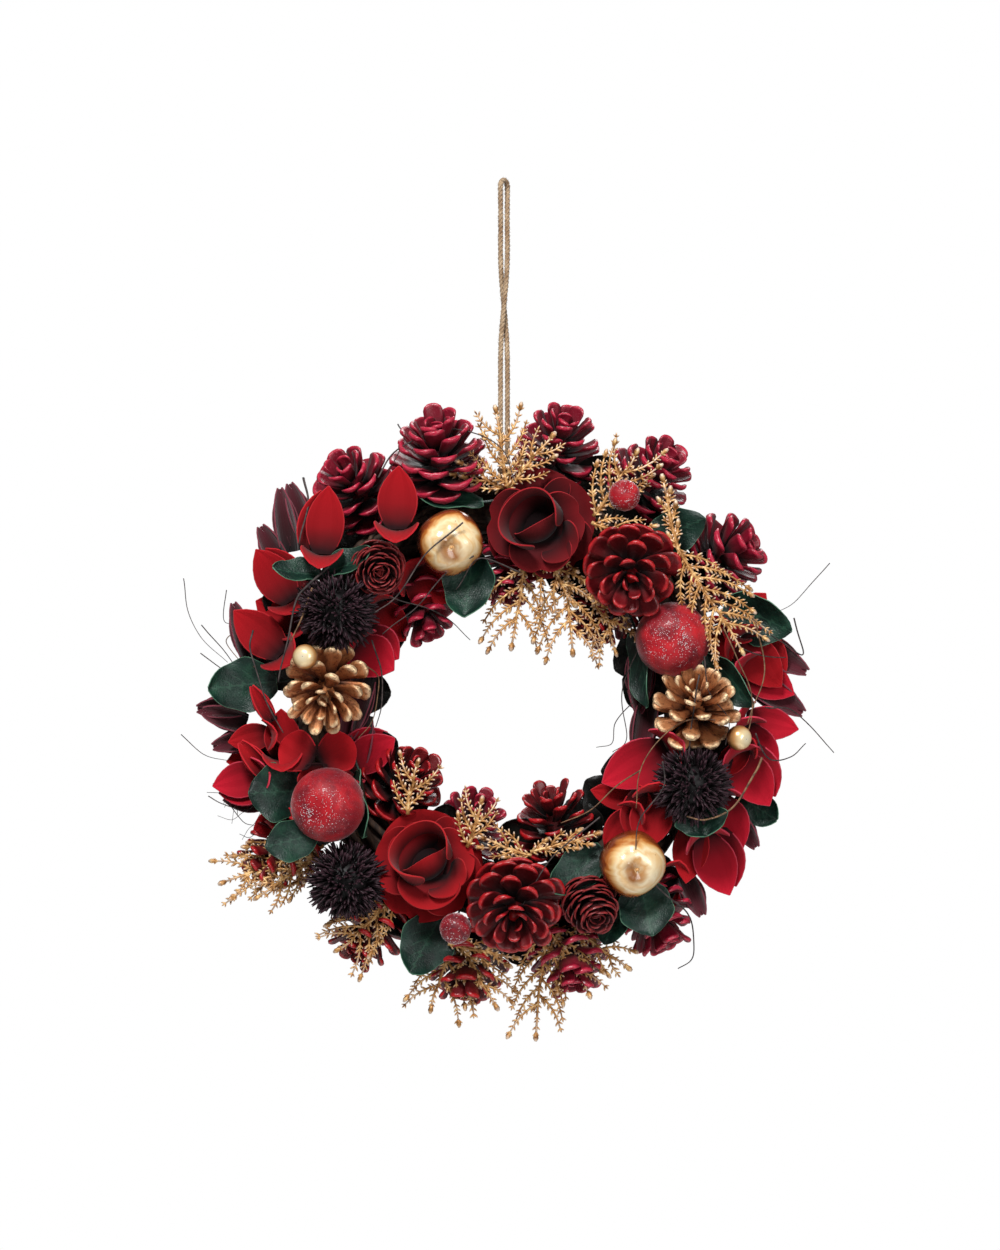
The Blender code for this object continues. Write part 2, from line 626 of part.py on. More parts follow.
def main():
    for obj in list(bpy.data.objects):
        bpy.data.objects.remove(obj)
    wreath = bpy.data.collections.new("door_wreath")
    cutters = bpy.data.collections.new("cutters")
    bpy.context.scene.collection.children.link(wreath)
    bpy.context.scene.collection.children.link(cutters)
    finishes = make_materials()
    vine_ring(finishes["vine"], wreath, cutters)
    twine_wrap(finishes["twine"], wreath)
    twine_knot(finishes["twine"], wreath)
    twine_loop(finishes["twine"], wreath)
    for seat, (clock, lean, lift) in zip(SEATS, make_room(SEATS)):
        trimming(seat, lift, seat_matrix(clock, lean, lift, math.radians(seat.swing)), finishes, wreath)
    hang_from_knot([obj for obj in wreath.objects if obj.name != "twine_loop"], wreath)


main()
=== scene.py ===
import math
import random

import bmesh
import bpy
from mathutils import Matrix, Vector, noise
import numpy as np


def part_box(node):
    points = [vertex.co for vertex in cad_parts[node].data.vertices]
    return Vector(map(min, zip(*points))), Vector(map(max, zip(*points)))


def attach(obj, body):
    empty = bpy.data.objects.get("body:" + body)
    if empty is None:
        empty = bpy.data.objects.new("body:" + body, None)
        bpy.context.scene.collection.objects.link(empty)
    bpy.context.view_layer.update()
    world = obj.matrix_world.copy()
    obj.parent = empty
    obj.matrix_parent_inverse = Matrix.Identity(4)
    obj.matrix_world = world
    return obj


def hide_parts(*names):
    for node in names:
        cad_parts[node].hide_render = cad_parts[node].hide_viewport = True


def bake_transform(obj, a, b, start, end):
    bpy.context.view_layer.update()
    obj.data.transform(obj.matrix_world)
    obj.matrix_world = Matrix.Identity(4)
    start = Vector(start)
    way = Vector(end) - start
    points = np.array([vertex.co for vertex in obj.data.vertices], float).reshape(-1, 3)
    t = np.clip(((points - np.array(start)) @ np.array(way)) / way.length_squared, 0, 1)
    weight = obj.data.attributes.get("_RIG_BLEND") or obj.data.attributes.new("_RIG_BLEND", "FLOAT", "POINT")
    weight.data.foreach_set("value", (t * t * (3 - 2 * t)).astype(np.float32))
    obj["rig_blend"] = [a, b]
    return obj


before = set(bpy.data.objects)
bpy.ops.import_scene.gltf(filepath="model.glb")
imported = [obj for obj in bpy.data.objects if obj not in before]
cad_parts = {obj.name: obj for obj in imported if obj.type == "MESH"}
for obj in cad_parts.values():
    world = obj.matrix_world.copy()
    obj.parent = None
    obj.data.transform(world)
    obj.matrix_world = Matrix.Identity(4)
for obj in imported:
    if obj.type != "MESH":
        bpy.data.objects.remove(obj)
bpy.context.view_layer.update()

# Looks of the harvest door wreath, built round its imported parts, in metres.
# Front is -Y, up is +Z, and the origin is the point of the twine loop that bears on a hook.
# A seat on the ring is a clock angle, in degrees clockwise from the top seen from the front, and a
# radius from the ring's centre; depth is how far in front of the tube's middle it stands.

MM = 0.001
TURN = math.tau
GOLDEN_TURN = math.radians(137.508)
draws = random.Random(7)
noise.seed_set(7)

TUBE_RADIUS = 21 * MM
RING_LOW, RING_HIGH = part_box("vine_ring")
RING_RADIUS = (RING_HIGH.x - RING_LOW.x) / 2 - TUBE_RADIUS
RING_CENTRE = Vector((0, RING_LOW.y + TUBE_RADIUS, (RING_LOW.z + RING_HIGH.z) / 2))
BACK_Y = RING_HIGH.y
FRONT = Vector((0, -1, 0))


# ---------------------------------------------------------------- camera

def make_camera():
    """A long lens square on to the wreath, level with the middle of the hanging."""
    data = bpy.data.cameras.new("camera")
    data.lens, data.sensor_width = 100, 36
    camera = bpy.data.objects.new("camera", data)
    bpy.context.scene.collection.objects.link(camera)
    camera.location = (-0.0023, -2.014, -0.2564)
    camera.rotation_euler = (math.radians(90), 0, 0)
    bpy.context.scene.camera = camera


make_camera()


# ---------------------------------------------------------------- finishes

def rgb(red, green, blue):
    """A colour in sRGB steps of 255, as the linear one that a shader takes."""
    def linear(step):
        share = step / 255
        return share / 12.92 if share <= 0.04045 else ((share + 0.055) / 1.055) ** 2.4
    return (linear(red), linear(green), linear(blue), 1)


BLACK, WHITE = rgb(0, 0, 0), rgb(255, 255, 255)


class Finish:
    """A material in the making: constants on its shader, and nodes that vary its colour and relief."""

    def __init__(self, name, roughness, **constants):
        self.material = bpy.data.materials.new(name)
        self.material.use_nodes = True
        self.tree = self.material.node_tree
        self.shader = self.tree.nodes["Principled BSDF"]
        self.shader.inputs["Roughness"].default_value = roughness
        for key, value in constants.items():
            socket = key.replace("_", " ").title().replace("Ior", "IOR")
            self.shader.inputs[socket].default_value = value
        self.place = self.tree.nodes.new("ShaderNodeTexCoord").outputs["Object"]

    def feed(self, socket, value):
        if isinstance(value, bpy.types.NodeSocket):
            self.tree.links.new(value, socket)
        elif value is not None:
            socket.default_value = value

    def node(self, kind, inputs, **settings):
        made = self.tree.nodes.new("ShaderNode" + kind)
        for key, value in settings.items():
            setattr(made, key, value)
        for key, value in inputs.items():
            self.feed(made.inputs[key], value)
        return made

    def noise(self, scale, detail=3.0, roughness=0.55, stretch=None, twist=0.0):
        place = self.place
        if stretch:
            place = self.node("Mapping", {"Vector": place, "Scale": stretch}).outputs[0]
        grain = {"Scale": scale, "Detail": detail, "Roughness": roughness, "Distortion": twist}
        return self.node("TexNoise", {"Vector": place, **grain}).outputs["Fac"]

    def cells(self, scale, feature="F1"):
        made = self.node("TexVoronoi", {"Vector": self.place, "Scale": scale}, feature=feature)
        return made.outputs["Distance"]

    def value(self, name):
        return self.node("Attribute", {}, attribute_name=name).outputs["Fac"]

    def math(self, how, a, b):
        return self.node("Math", {0: a, 1: b}, operation=how).outputs[0]

    def ramp(self, factor, *stops):
        made = self.node("ValToRGB", {"Fac": factor})
        marks = made.color_ramp.elements
        while len(marks) < len(stops):
            marks.new(0.5)
        for mark, (at, colour) in zip(marks, stops):
            mark.position = at
            mark.color = colour
        return made.outputs["Color"]

    def mask(self, factor, start, end):
        """Black up to start, and white from end on."""
        return self.ramp(factor, (start, BLACK), (end, WHITE))

    def level(self, factor, low, high, start=0.0, end=1.0):
        spans = {"From Min": start, "From Max": end, "To Min": low, "To Max": high}
        return self.node("MapRange", {"Value": factor, **spans}).outputs[0]

    def mix(self, factor, a, b, how="MIX"):
        # Of a Mix node's sockets, 6 and 7 take its colours, and 2 gives the colour out.
        return self.node("Mix", {0: factor, 6: a, 7: b}, data_type="RGBA", blend_type=how).outputs[2]

    def done(self, colour, relief=(), roughness=None):
        """Joins the colour, the bumps (height, strength, depth) and the roughness to the shader."""
        self.feed(self.shader.inputs["Base Color"], colour)
        self.feed(self.shader.inputs["Roughness"], roughness)
        normal = None
        for height, strength, depth in relief:
            size = {"Strength": strength, "Distance": depth}
            normal = self.node("Bump", {"Height": height, "Normal": normal, **size}).outputs[0]
        self.feed(self.shader.inputs["Normal"], normal)
        return self.material


def bark_finish():
    f = Finish("vine_bark", 0.8)
    grain = f.noise(420, 5, 0.65, stretch=(1, 1, 0.35))
    patch = f.noise(60, 3)
    colour = f.ramp(grain, (0.30, rgb(44, 30, 24)), (0.55, rgb(92, 66, 50)), (0.75, rgb(140, 106, 80)))
    return f.done(f.mix(patch, colour, rgb(30, 20, 18), "MULTIPLY"), [(grain, 0.7, 0.0008)])


def tendril_finish(name, dark, light):
    f = Finish(name, 0.7)
    grain = f.noise(300, 4, 0.6)
    return f.done(f.ramp(grain, (0.35, dark), (0.65, light)), [(f.noise(1500, 2), 0.4, 0.0002)])


def twine_finish():
    f = Finish("jute_twine", 0.9, sheen_weight=0.25)
    fibre = f.noise(2600, 3, 0.7, stretch=(1, 1, 0.25))
    patch = f.noise(90, 2)
    colour = f.ramp(fibre, (0.25, rgb(116, 92, 70)), (0.5, rgb(184, 158, 128)), (0.75, rgb(228, 208, 180)))
    shade = f.ramp(patch, (0.35, rgb(206, 188, 170)), (0.6, rgb(255, 252, 246)))
    return f.done(f.mix(1.0, colour, shade, "MULTIPLY"), [(fibre, 0.8, 0.0004)])


def scale_finish(name, root, middle, lip, glow, roughness=0.3, sheen=0.0):
    """Paint on a pine cone: painted shade near black at a scale's root and dark over its face, bright on its
    lip, with ribs and worn spots.
    """
    f = Finish(name, roughness, coat_weight=0.3, coat_roughness=0.2, sheen_weight=sheen,
               sheen_roughness=0.4, specular_ior_level=0.4)
    along = f.value("tip")
    patch = f.noise(130, 3)
    # The near black root and dark face are painted shade between the overlapping scales.
    body = f.ramp(f.math("ADD", along, f.level(patch, -0.10, 0.10)), (0.30, root), (0.70, middle),
                  (0.90, middle), (0.985, lip))
    speck = f.mask(f.noise(900, 4, 0.7), 0.60, 0.72)
    colour = f.mix(f.math("MULTIPLY", speck, f.level(along, 0.05, 0.40)), body, glow)
    ribs = f.noise(1300, 3, 0.6)
    rough_root = f.level(along, 0.5, 0.0, 0.4, 0.95)
    dull = f.math("ADD", rough_root, f.level(f.noise(500, 2), roughness - 0.1, roughness + 0.15))
    return f.done(colour, [(ribs, 0.5, 0.0004), (f.value("rib"), 0.6, 0.0006), (patch, 0.3, 0.001)], dull)


def gold_scale_finish():
    f = Finish("gold_cone_paint", 0.4, metallic=0.45)
    along = f.value("tip")
    patch = f.noise(160, 4, 0.6)
    # Near black at a scale's root, painted shade deep in the cone, and pale cream at its tip, a painted
    # highlight.
    body = f.ramp(f.math("ADD", along, f.level(patch, -0.16, 0.16)),
                  (0.16, rgb(62, 34, 22)), (0.50, rgb(172, 102, 60)), (0.84, rgb(220, 150, 98)),
                  (1.0, rgb(255, 222, 176)))
    ribs = f.noise(1400, 4, 0.65)
    worn = f.ramp(f.noise(420, 3, 0.6), (0.34, rgb(120, 76, 50)), (0.50, WHITE))
    return f.done(f.mix(0.7, body, worn, "MULTIPLY"), [(ribs, 0.7, 0.0005), (f.value("rib"), 0.7, 0.0008)],
                  f.level(ribs, 0.28, 0.58))


def gold_sprig_finish():
    f = Finish("gold_sprig_paint", 0.45, metallic=0.3)
    patch = f.noise(300, 3)
    body = f.ramp(patch, (0.30, rgb(122, 76, 34)), (0.50, rgb(196, 142, 82)), (0.68, rgb(244, 206, 146)))
    pale = f.mask(f.value("tip"), 0.60, 0.95)
    return f.done(f.mix(pale, body, rgb(238, 212, 188)), [(f.noise(2200, 2), 0.5, 0.0002)])


def shaving_finish(name, root, body, light, edge, ribs=0.15, sheen=0.08, dark=0.04):
    """Dyed wood shaving: matte, dark at the root as painted shade where the petals gather, with a lighter cut
    edge that is a painted highlight, and a faint grain.
    """
    f = Finish(name, 0.8, sheen_weight=sheen, sheen_roughness=0.5, specular_ior_level=0.18)
    patch = f.noise(45, 2)
    along = f.math("ADD", f.value("tip"), f.level(patch, -0.10, 0.10))
    # Darker towards the root: painted shade where the petals gather.
    colour = f.ramp(along, (dark, root), (0.36 + dark, body), (0.96, light))
    # The lighter band along the cut edge is a painted highlight.
    rim = f.mask(f.value("rim"), 0.88, 0.98)
    colour = f.mix(f.math("MULTIPLY", rim, 0.8), colour, edge)
    grain = f.noise(2400, 3, 0.6)
    return f.done(colour, [(grain, ribs, 0.0002), (f.value("rib"), 0.35, 0.0008)])


def gold_gloss_finish():
    """Gloss on a gilt apple: caramel rings round the eye of the fruit, a cream face that is a painted
    highlight, brown at its sides as painted reflection, and painted shade on its lower left side.
    """
    f = Finish("gilt_gloss", 0.2, coat_weight=0.7, coat_roughness=0.1, specular_ior_level=0.6)
    blotch = f.noise(46, 3, 0.5, twist=1.2)
    side = f.value("rib")
    tip = f.value("tip")
    along = f.math("ADD", tip, f.level(blotch, -0.09, 0.09, 0.25, 0.75))
    # Pushes the lower left side, marked by rib, towards the darker rings: painted shade.
    along = f.math("ADD", along, f.level(side, -0.03, 0.05))
    # Real swirl rings, with the cream face a painted highlight and the brown from 0.40 out a painted
    # reflection at the sides.
    swirl_and_painted_light = f.ramp(along, (0.0, rgb(214, 160, 98)), (0.05, rgb(170, 110, 56)), (0.10, rgb(246, 214, 160)),
                   (0.155, rgb(220, 166, 104)), (0.20, rgb(254, 234, 192)), (0.26, rgb(238, 196, 136)),
                   (0.30, rgb(254, 230, 184)), (0.355, rgb(236, 188, 122)), (0.40, rgb(196, 118, 54)),
                   (0.45, rgb(130, 58, 24)), (0.62, rgb(64, 26, 12)))
    # A brown crescent beside the eye on the lower left side: painted shade.
    painted_shade_crescent = f.ramp(tip, (0.06, BLACK), (0.09, WHITE), (0.17, WHITE), (0.23, BLACK))
    painted_shade_crescent = f.math("MULTIPLY", painted_shade_crescent, f.level(side, 0.0, 1.0, 0.38, 0.56))
    colour = f.mix(f.math("MULTIPLY", painted_shade_crescent, f.level(blotch, 0.4, 1.0, 0.3, 0.6)), swirl_and_painted_light, rgb(150, 92, 42))
    fleck = f.ramp(f.cells(210), (0.04, WHITE), (0.10, BLACK))
    colour = f.mix(f.math("MULTIPLY", fleck, 0.75), colour, rgb(120, 60, 20))
    return f.done(colour, [(blotch, 0.35, 0.001)], f.level(blotch, 0.12, 0.36))


def pearl_gold_finish():
    f = Finish("pearl_gold", 0.28, metallic=0.3, coat_weight=0.6, coat_roughness=0.12)
    # Cream near the forward-facing eye, a painted highlight, darkening to brown towards the sides and foot as
    # painted shade.
    colour = f.ramp(f.value("tip"), (0.0, rgb(150, 98, 48)), (0.07, rgb(255, 244, 214)),
                    (0.30, rgb(255, 226, 172)), (0.42, rgb(206, 148, 86)), (0.56, rgb(104, 62, 34)))
    return f.done(colour, [(f.noise(500, 2), 0.1, 0.0003)])


def frosted_finish():
    f = Finish("frosted_skin", 0.5, coat_weight=0.1, sheen_weight=0.25, sheen_roughness=0.35,
               specular_ior_level=0.35)
    blotch = f.noise(60, 4, 0.6, twist=0.8)
    skin = f.ramp(blotch, (0.30, rgb(88, 8, 24)), (0.48, rgb(146, 12, 28)), (0.66, rgb(196, 22, 34)))
    dust = f.mask(f.noise(1500, 3, 0.7), 0.56, 0.70)
    # Frost dust comes in patches and is made whiter towards the outline seen from the front: a painted sheen.
    outline_sheen = f.level(f.value("rim"), 0.05, 0.6)
    colour = f.mix(f.math("MULTIPLY", dust, outline_sheen), skin, rgb(206, 160, 176))
    return f.done(colour, [(f.noise(1800, 2), 0.6, 0.0003)])


def sugar_finish():
    f = Finish("sugar_crystal", 0.18, transmission_weight=0.35, ior=1.45)
    grain = f.noise(900, 2)
    colour = f.ramp(grain, (0.35, rgb(226, 190, 200)), (0.6, rgb(255, 250, 250)))
    return f.done(colour, [(grain, 0.2, 0.0002)])


def bristle_finish():
    f = Finish("burgundy_bristle", 0.5, sheen_weight=0.08, sheen_roughness=0.3, specular_ior_level=0.3)
    along = f.value("tip")
    body = f.ramp(f.math("ADD", along, f.level(f.noise(140, 3), -0.25, 0.25)),
                  (0.05, rgb(8, 4, 6)), (0.55, rgb(20, 9, 14)), (0.95, rgb(58, 32, 42)))
    return f.done(body, [(f.noise(2500, 2), 0.3, 0.0002)])


def leaf_finish(name, deep, middle, light, vein_colour, edge):
    f = Finish(name, 0.45, specular_ior_level=0.4)
    patch = f.noise(80, 3)
    body = f.ramp(patch, (0.30, deep), (0.55, middle), (0.75, light))
    vein = f.mask(f.value("rib"), 0.70, 0.98)
    colour = f.mix(f.math("MULTIPLY", vein, 0.35), body, vein_colour)
    # The lighter band along the leaf's edge is a painted highlight.
    rim = f.mask(f.value("rim"), 0.80, 0.97)
    colour = f.mix(f.math("MULTIPLY", rim, 0.75), colour, edge)
    crackle = f.cells(700, "DISTANCE_TO_EDGE")
    return f.done(colour, [(crackle, 0.5, 0.0005), (f.noise(1600, 3), 0.35, 0.0002), (patch, 0.6, 0.002)])


BARK = bark_finish()
DARK_TENDRIL = tendril_finish("dark_tendril", rgb(34, 27, 28), rgb(84, 72, 70))
TAN_TENDRIL = tendril_finish("tan_tendril", rgb(78, 54, 40), rgb(150, 112, 78))
TWINE = twine_finish()
RED_SCALE = scale_finish("red_cone_paint", rgb(22, 5, 7), rgb(100, 8, 16), rgb(182, 26, 32), rgb(212, 92, 92))
DUSKY_SCALE = scale_finish("dusky_cone_paint", rgb(24, 5, 10), rgb(120, 10, 34), rgb(190, 38, 66),
                           rgb(222, 124, 142), 0.28, sheen=0.04)
ROSETTE_SCALE = scale_finish("rosette_paint", rgb(16, 4, 5), rgb(50, 8, 12), rgb(146, 38, 40),
                             rgb(176, 70, 66), 0.5)
GOLD_SCALE = gold_scale_finish()
GOLD_SPRIG = gold_sprig_finish()
ROSE_DEEP = shaving_finish("deep_rose_shaving", rgb(20, 2, 5), rgb(74, 5, 12), rgb(108, 7, 16),
                           rgb(166, 30, 38), dark=0.22)
ROSE_RED = shaving_finish("rose_shaving", rgb(22, 2, 5), rgb(116, 6, 15), rgb(160, 11, 20),
                          rgb(178, 34, 38), dark=0.22)
PETAL_RED = shaving_finish("petal_shaving", rgb(34, 3, 7), rgb(136, 5, 16), rgb(172, 9, 22),
                           rgb(202, 36, 46))
# A brighter, rosier copy of the petal paint, given mostly to the right-hand flowers: its extra brightness is
# painted light.
LIT_ROSY_PETAL = shaving_finish("lit_rosy_petal_shaving", rgb(36, 3, 10), rgb(156, 8, 30), rgb(196, 16, 42),
                            rgb(214, 66, 88))
HUSK_RED = shaving_finish("husk_shaving", rgb(14, 4, 7), rgb(58, 8, 18), rgb(84, 20, 34),
                          rgb(136, 62, 76), ribs=0.5, sheen=0.5)
GILT = gold_gloss_finish()
PEARL = pearl_gold_finish()
FROSTED = frosted_finish()
SUGAR = sugar_finish()
BRISTLE = bristle_finish()
LEAF = leaf_finish("green_leaf", rgb(7, 26, 22), rgb(17, 48, 38), rgb(32, 72, 54), rgb(60, 100, 80),
                   rgb(96, 142, 114))
# Near black leaves that sit in the gaps between trimmings: painted shade.
SHADE_LEAF = leaf_finish("shade_filler_leaf", rgb(8, 9, 9), rgb(16, 20, 17), rgb(30, 24, 24), rgb(40, 40, 36),
                        rgb(52, 44, 42))


# ---------------------------------------------------------------- shaping

def new_shape():
    """An empty bmesh whose corners carry the values that the finishes read."""
    bm = bmesh.new()
    for name in ("tip", "rim", "rib"):
        bm.verts.layers.float.new(name)
    return bm


def kept(bm):
    """The bmesh as a mesh to be copied from."""
    mesh = bpy.data.meshes.new("form")
    bm.to_mesh(mesh)
    bm.free()
    return mesh


def add_copy(bm, form, matrix):
    """Adds a copy of a kept form to a bmesh, in its place."""
    copy = form.copy()
    copy.transform(matrix)
    bm.from_mesh(copy)
    bpy.data.meshes.remove(copy)


def pour(bm, part, matrix=Matrix()):
    """Adds a finished bmesh to another, in its place."""
    form = kept(part)
    form.transform(matrix)
    bm.from_mesh(form)
    bpy.data.meshes.remove(form)


def settle(bm, name, finish, body="wreath", stands_for=(), sharp=50):
    """Makes a bmesh a named piece that rides on a body, pressed flat where it meets the door's plane."""
    for vert in bm.verts:
        vert.co.y = min(vert.co.y, BACK_Y)
    mesh = bpy.data.meshes.new(name)
    bm.to_mesh(mesh)
    bm.free()
    mesh.materials.append(finish)
    mesh.shade_smooth()
    if sharp:
        mesh.set_sharp_from_angle(angle=math.radians(sharp))
    piece = bpy.data.objects.new(name, mesh)
    bpy.context.scene.collection.objects.link(piece)
    if body:
        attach(piece, body)
    if stands_for:
        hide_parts(*stands_for)
    return piece


def settle_trimming(bm, name, ending, finish, sharp=50):
    """Settles a piece that stands for the node of its name, or that only dresses the ring."""
    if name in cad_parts:
        settle(bm, name + ending, finish, stands_for=[name], sharp=sharp)
    else:
        settle(bm, name, finish, sharp=sharp)


def smooth_route(points, per_span):
    """Points read from a Catmull-Rom curve through the given ones."""
    ends = [points[0] * 2 - points[1], *points, points[-1] * 2 - points[-2]]
    route = []
    for before, start, end, after in zip(ends, ends[1:], ends[2:], ends[3:]):
        for step in range(per_span):
            t = step / per_span
            curve = (2 * before - 5 * start + 4 * end - after) * t**2
            twist = (3 * start - before - 3 * end + after) * t**3
            route.append(0.5 * (2 * start + (end - before) * t + curve + twist))
    return [*route, points[-1]]


def frames_along(points):
    """A frame at each point of a route, Z along it, carried from one to the next without twist."""
    found, side = [], None
    for k, point in enumerate(points):
        ahead = (points[min(k + 1, len(points) - 1)] - points[max(k - 1, 0)]).normalized()
        if side is None:
            side = ahead.orthogonal().normalized()
        side = (side - ahead * side.dot(ahead)).normalized()
        over = ahead.cross(side)
        turn = Matrix((side, over, ahead)).transposed().to_4x4()
        found.append(Matrix.Translation(point) @ turn)
    return found


STRAIGHT_RODS = {}


def straight_rod(stations, sides):
    """A straight closed rod of radius 1 up Z, with its rings of corners 1 apart."""
    if (stations, sides) not in STRAIGHT_RODS:
        bm = new_shape()
        bmesh.ops.create_circle(bm, segments=sides, radius=1, cap_ends=True)
        rim = list(bm.edges)
        for _ in range(stations - 1):
            grown = bmesh.ops.extrude_edge_only(bm, edges=rim)["geom"]
            corners = [g for g in grown if isinstance(g, bmesh.types.BMVert)]
            rim = [g for g in grown if isinstance(g, bmesh.types.BMEdge) and g.is_boundary]
            bmesh.ops.translate(bm, verts=corners, vec=(0, 0, 1))
        bmesh.ops.holes_fill(bm, edges=rim, sides=0)
        bmesh.ops.recalc_face_normals(bm, faces=bm.faces)
        layer = bm.verts.layers.float["tip"]
        for vert in bm.verts:
            vert[layer] = vert.co.z / (stations - 1)
        STRAIGHT_RODS[stations, sides] = kept(bm)
    return STRAIGHT_RODS[stations, sides]


def add_rod(bm, points, radius, sides=6):
    """A rod along a route. Its radius is a number, or a function of the share of the way along."""
    part = new_shape()
    part.from_mesh(straight_rod(len(points), sides))
    places = frames_along(points)
    last = len(points) - 1
    for vert in part.verts:
        k = round(vert.co.z)
        thick = radius(k / last) if callable(radius) else radius
        vert.co = places[k] @ Vector((vert.co.x * thick, vert.co.y * thick, 0))
    pour(bm, part)


def add_ball(bm, centre, radius, subdivisions):
    place = Matrix.Translation(centre)
    bmesh.ops.create_icosphere(bm, subdivisions=subdivisions, radius=radius, matrix=place)


def add_petal(bm, place, length, width, root, tip, wrap, pointed=True, thick=0.9 * MM, rows=8, columns=6,
              flare=0.0, notch=0.0, folds=0.0):
    """A petal in a frame whose Z is the flower's axis and Y points out of it.

    Its spine leaves the root leaning out by root degrees and ends leaning by tip degrees; wrap is the
    radius it is rolled to across its width, flare opens its rim, and folds are lengthwise ribs.
    """
    part = new_shape()
    along, rim, rib = (part.verts.layers.float[name] for name in ("tip", "rim", "rib"))
    bmesh.ops.create_grid(part, x_segments=columns, y_segments=rows, size=0.5)
    spine = [(0.0, 0.0)]
    for row in range(rows):
        lean = math.radians(root + (tip - root) * (row + 0.5) / rows)
        y, z = spine[-1]
        spine.append((y + math.sin(lean) * length / rows, z + math.cos(lean) * length / rows))
    for vert in part.verts:
        vert[rim] = 1.0 if vert.is_boundary and vert.co.y > -0.45 else 0.0
    for vert in part.verts:
        across, up = 2 * vert.co.x, vert.co.y + 0.5
        if pointed:
            half = 0.5 * width * max(0.012, math.sin(math.pi * (0.12 + 0.88 * up))) ** 0.8
            down = 0.0
        else:
            half = 0.5 * width * math.sin(math.pi * (0.10 + 0.62 * up)) ** 0.7
            down = (0.24 * across**2 + notch * math.exp(-(across / 0.22) ** 2)) * up**2
        row = min(max(up - down, 0.0), 1.0) * rows
        low = min(int(row), rows - 1)
        part_way = row - low
        y = spine[low][0] * (1 - part_way) + spine[low + 1][0] * part_way
        z = spine[low][1] * (1 - part_way) + spine[low + 1][1] * part_way
        lean = math.radians(root + (tip - root) * row / rows)
        here = wrap * (1 + flare * up)
        angle = across * half / here
        inward = here * (1 - math.cos(angle)) - folds * math.cos(across * 9) * math.sin(math.pi * up)
        vert[along], vert[rib] = up, 0.5 + 0.5 * math.cos(across * 9)
        vert.co = (here * math.sin(angle), y - inward * math.cos(lean), z + inward * math.sin(lean))
    bmesh.ops.recalc_face_normals(part, faces=part.faces)
    bmesh.ops.solidify(part, geom=part.faces[:], thickness=thick)
    pour(bm, part, place)


def turned(bm, outline, steps, matrix):
    """A profile of (radius, height) turned about Z; tip marks how far round its outline a corner lies."""
    part = new_shape()
    layer = part.verts.layers.float["tip"]
    chain = [part.verts.new((x, 0, z)) for x, z in outline]
    for k, vert in enumerate(chain):
        vert[layer] = k / (len(chain) - 1)
    edges = [part.edges.new(pair) for pair in zip(chain, chain[1:])]
    bmesh.ops.spin(part, geom=[*chain, *edges], cent=(0, 0, 0), axis=(0, 0, 1), angle=TURN, steps=steps,
                   use_merge=True)
    bmesh.ops.remove_doubles(part, verts=part.verts, dist=0.005 * MM)
    bmesh.ops.recalc_face_normals(part, faces=part.faces)
    pour(bm, part, matrix)


def spun(degrees, axis="Z"):
    return Matrix.Rotation(math.radians(degrees), 4, axis)


def moved(x, y, z):
    return Matrix.Translation((x, y, z))


# ---------------------------------------------------------------- places on the ring

def around(clock):
    """Outward from the ring's centre, and along the ring, at a clock angle in degrees."""
    angle = math.radians(clock)
    return (Vector((math.sin(angle), 0, math.cos(angle))), Vector((math.cos(angle), 0, -math.sin(angle))))


def ring_point(clock, radius, depth):
    """A point by its clock angle, radius in mm and depth in front of the tube's middle in mm."""
    return RING_CENTRE + around(clock)[0] * radius * MM + FRONT * depth * MM


# How far, in mm to the right and up, a trimming has been pushed over from the seat it was glued on.
NUDGES = {
    "frosted_apple_left": (3, 1), "frosted_apple_right": (-4, -5),
    "frosted_berry_upper": (0, -6), "frosted_berry_lower": (1, 6),
    "gold_apple_upper": (1, -4), "gold_apple_lower": (-4, -1),
    "gold_berry_left": (6, -7), "gold_berry_right": (-11, 1),
    "red_rose_upper": (3, -3), "red_rose_lower": (5, 0),
    "red_cone_front_1": (0, -5), "red_cone_outer_1": (3, -2), "red_cone_outer_3": (2, -3),
    "red_cone_outer_4": (4, 3), "red_cone_outer_5": (-6, 3), "red_cone_outer_10": (-5, -5),
    "red_cone_inner_2": (-7, 0), "red_cone_inner_4": (4, -1), "gold_cone_right": (0, 4),
    "rosette_cone_upper": (1, -3), "rosette_cone_lower": (-3, 4),
    "spiky_pod_upper": (10, -2), "spiky_pod_lower": (7, -1), "spiky_pod_right": (-4, 4),
}


def nudge_of(node):
    right, up = NUDGES.get(node, (0, 0))
    return Vector((right * MM, 0, up * MM))


def corners_of(node):
    return [v.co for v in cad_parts[node].data.vertices]


def middle_of(node):
    corners = corners_of(node)
    return sum(corners, Vector()) / len(corners) + nudge_of(node)


def seat_of(node, length):
    """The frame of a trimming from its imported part: X along the ring, Y across it, Z off the tube."""
    corners = corners_of(node)
    middle = sum(corners, Vector()) / len(corners)
    flat = middle - RING_CENTRE
    flat.y = 0
    outward = flat.normalized()
    off = (middle - RING_CENTRE - outward * RING_RADIUS).normalized()
    along = Vector((outward.z, 0, -outward.x))
    top = max((corner - middle).dot(off) for corner in corners)
    foot = middle + off * (top - length) + nudge_of(node)
    return Matrix.Translation(foot) @ Matrix((along, off.cross(along), off)).transposed().to_4x4()


def facing(point, lean_clock, forward):
    """A frame at a point: Z towards a clock angle, tipped forward by degrees, and Y to the back."""
    outward, along = around(lean_clock)
    turn = Matrix((along, -FRONT, outward)).transposed().to_4x4()
    return Matrix.Translation(point) @ turn @ spun(forward, "X")


# ---------------------------------------------------------------- twine, knot and wrap

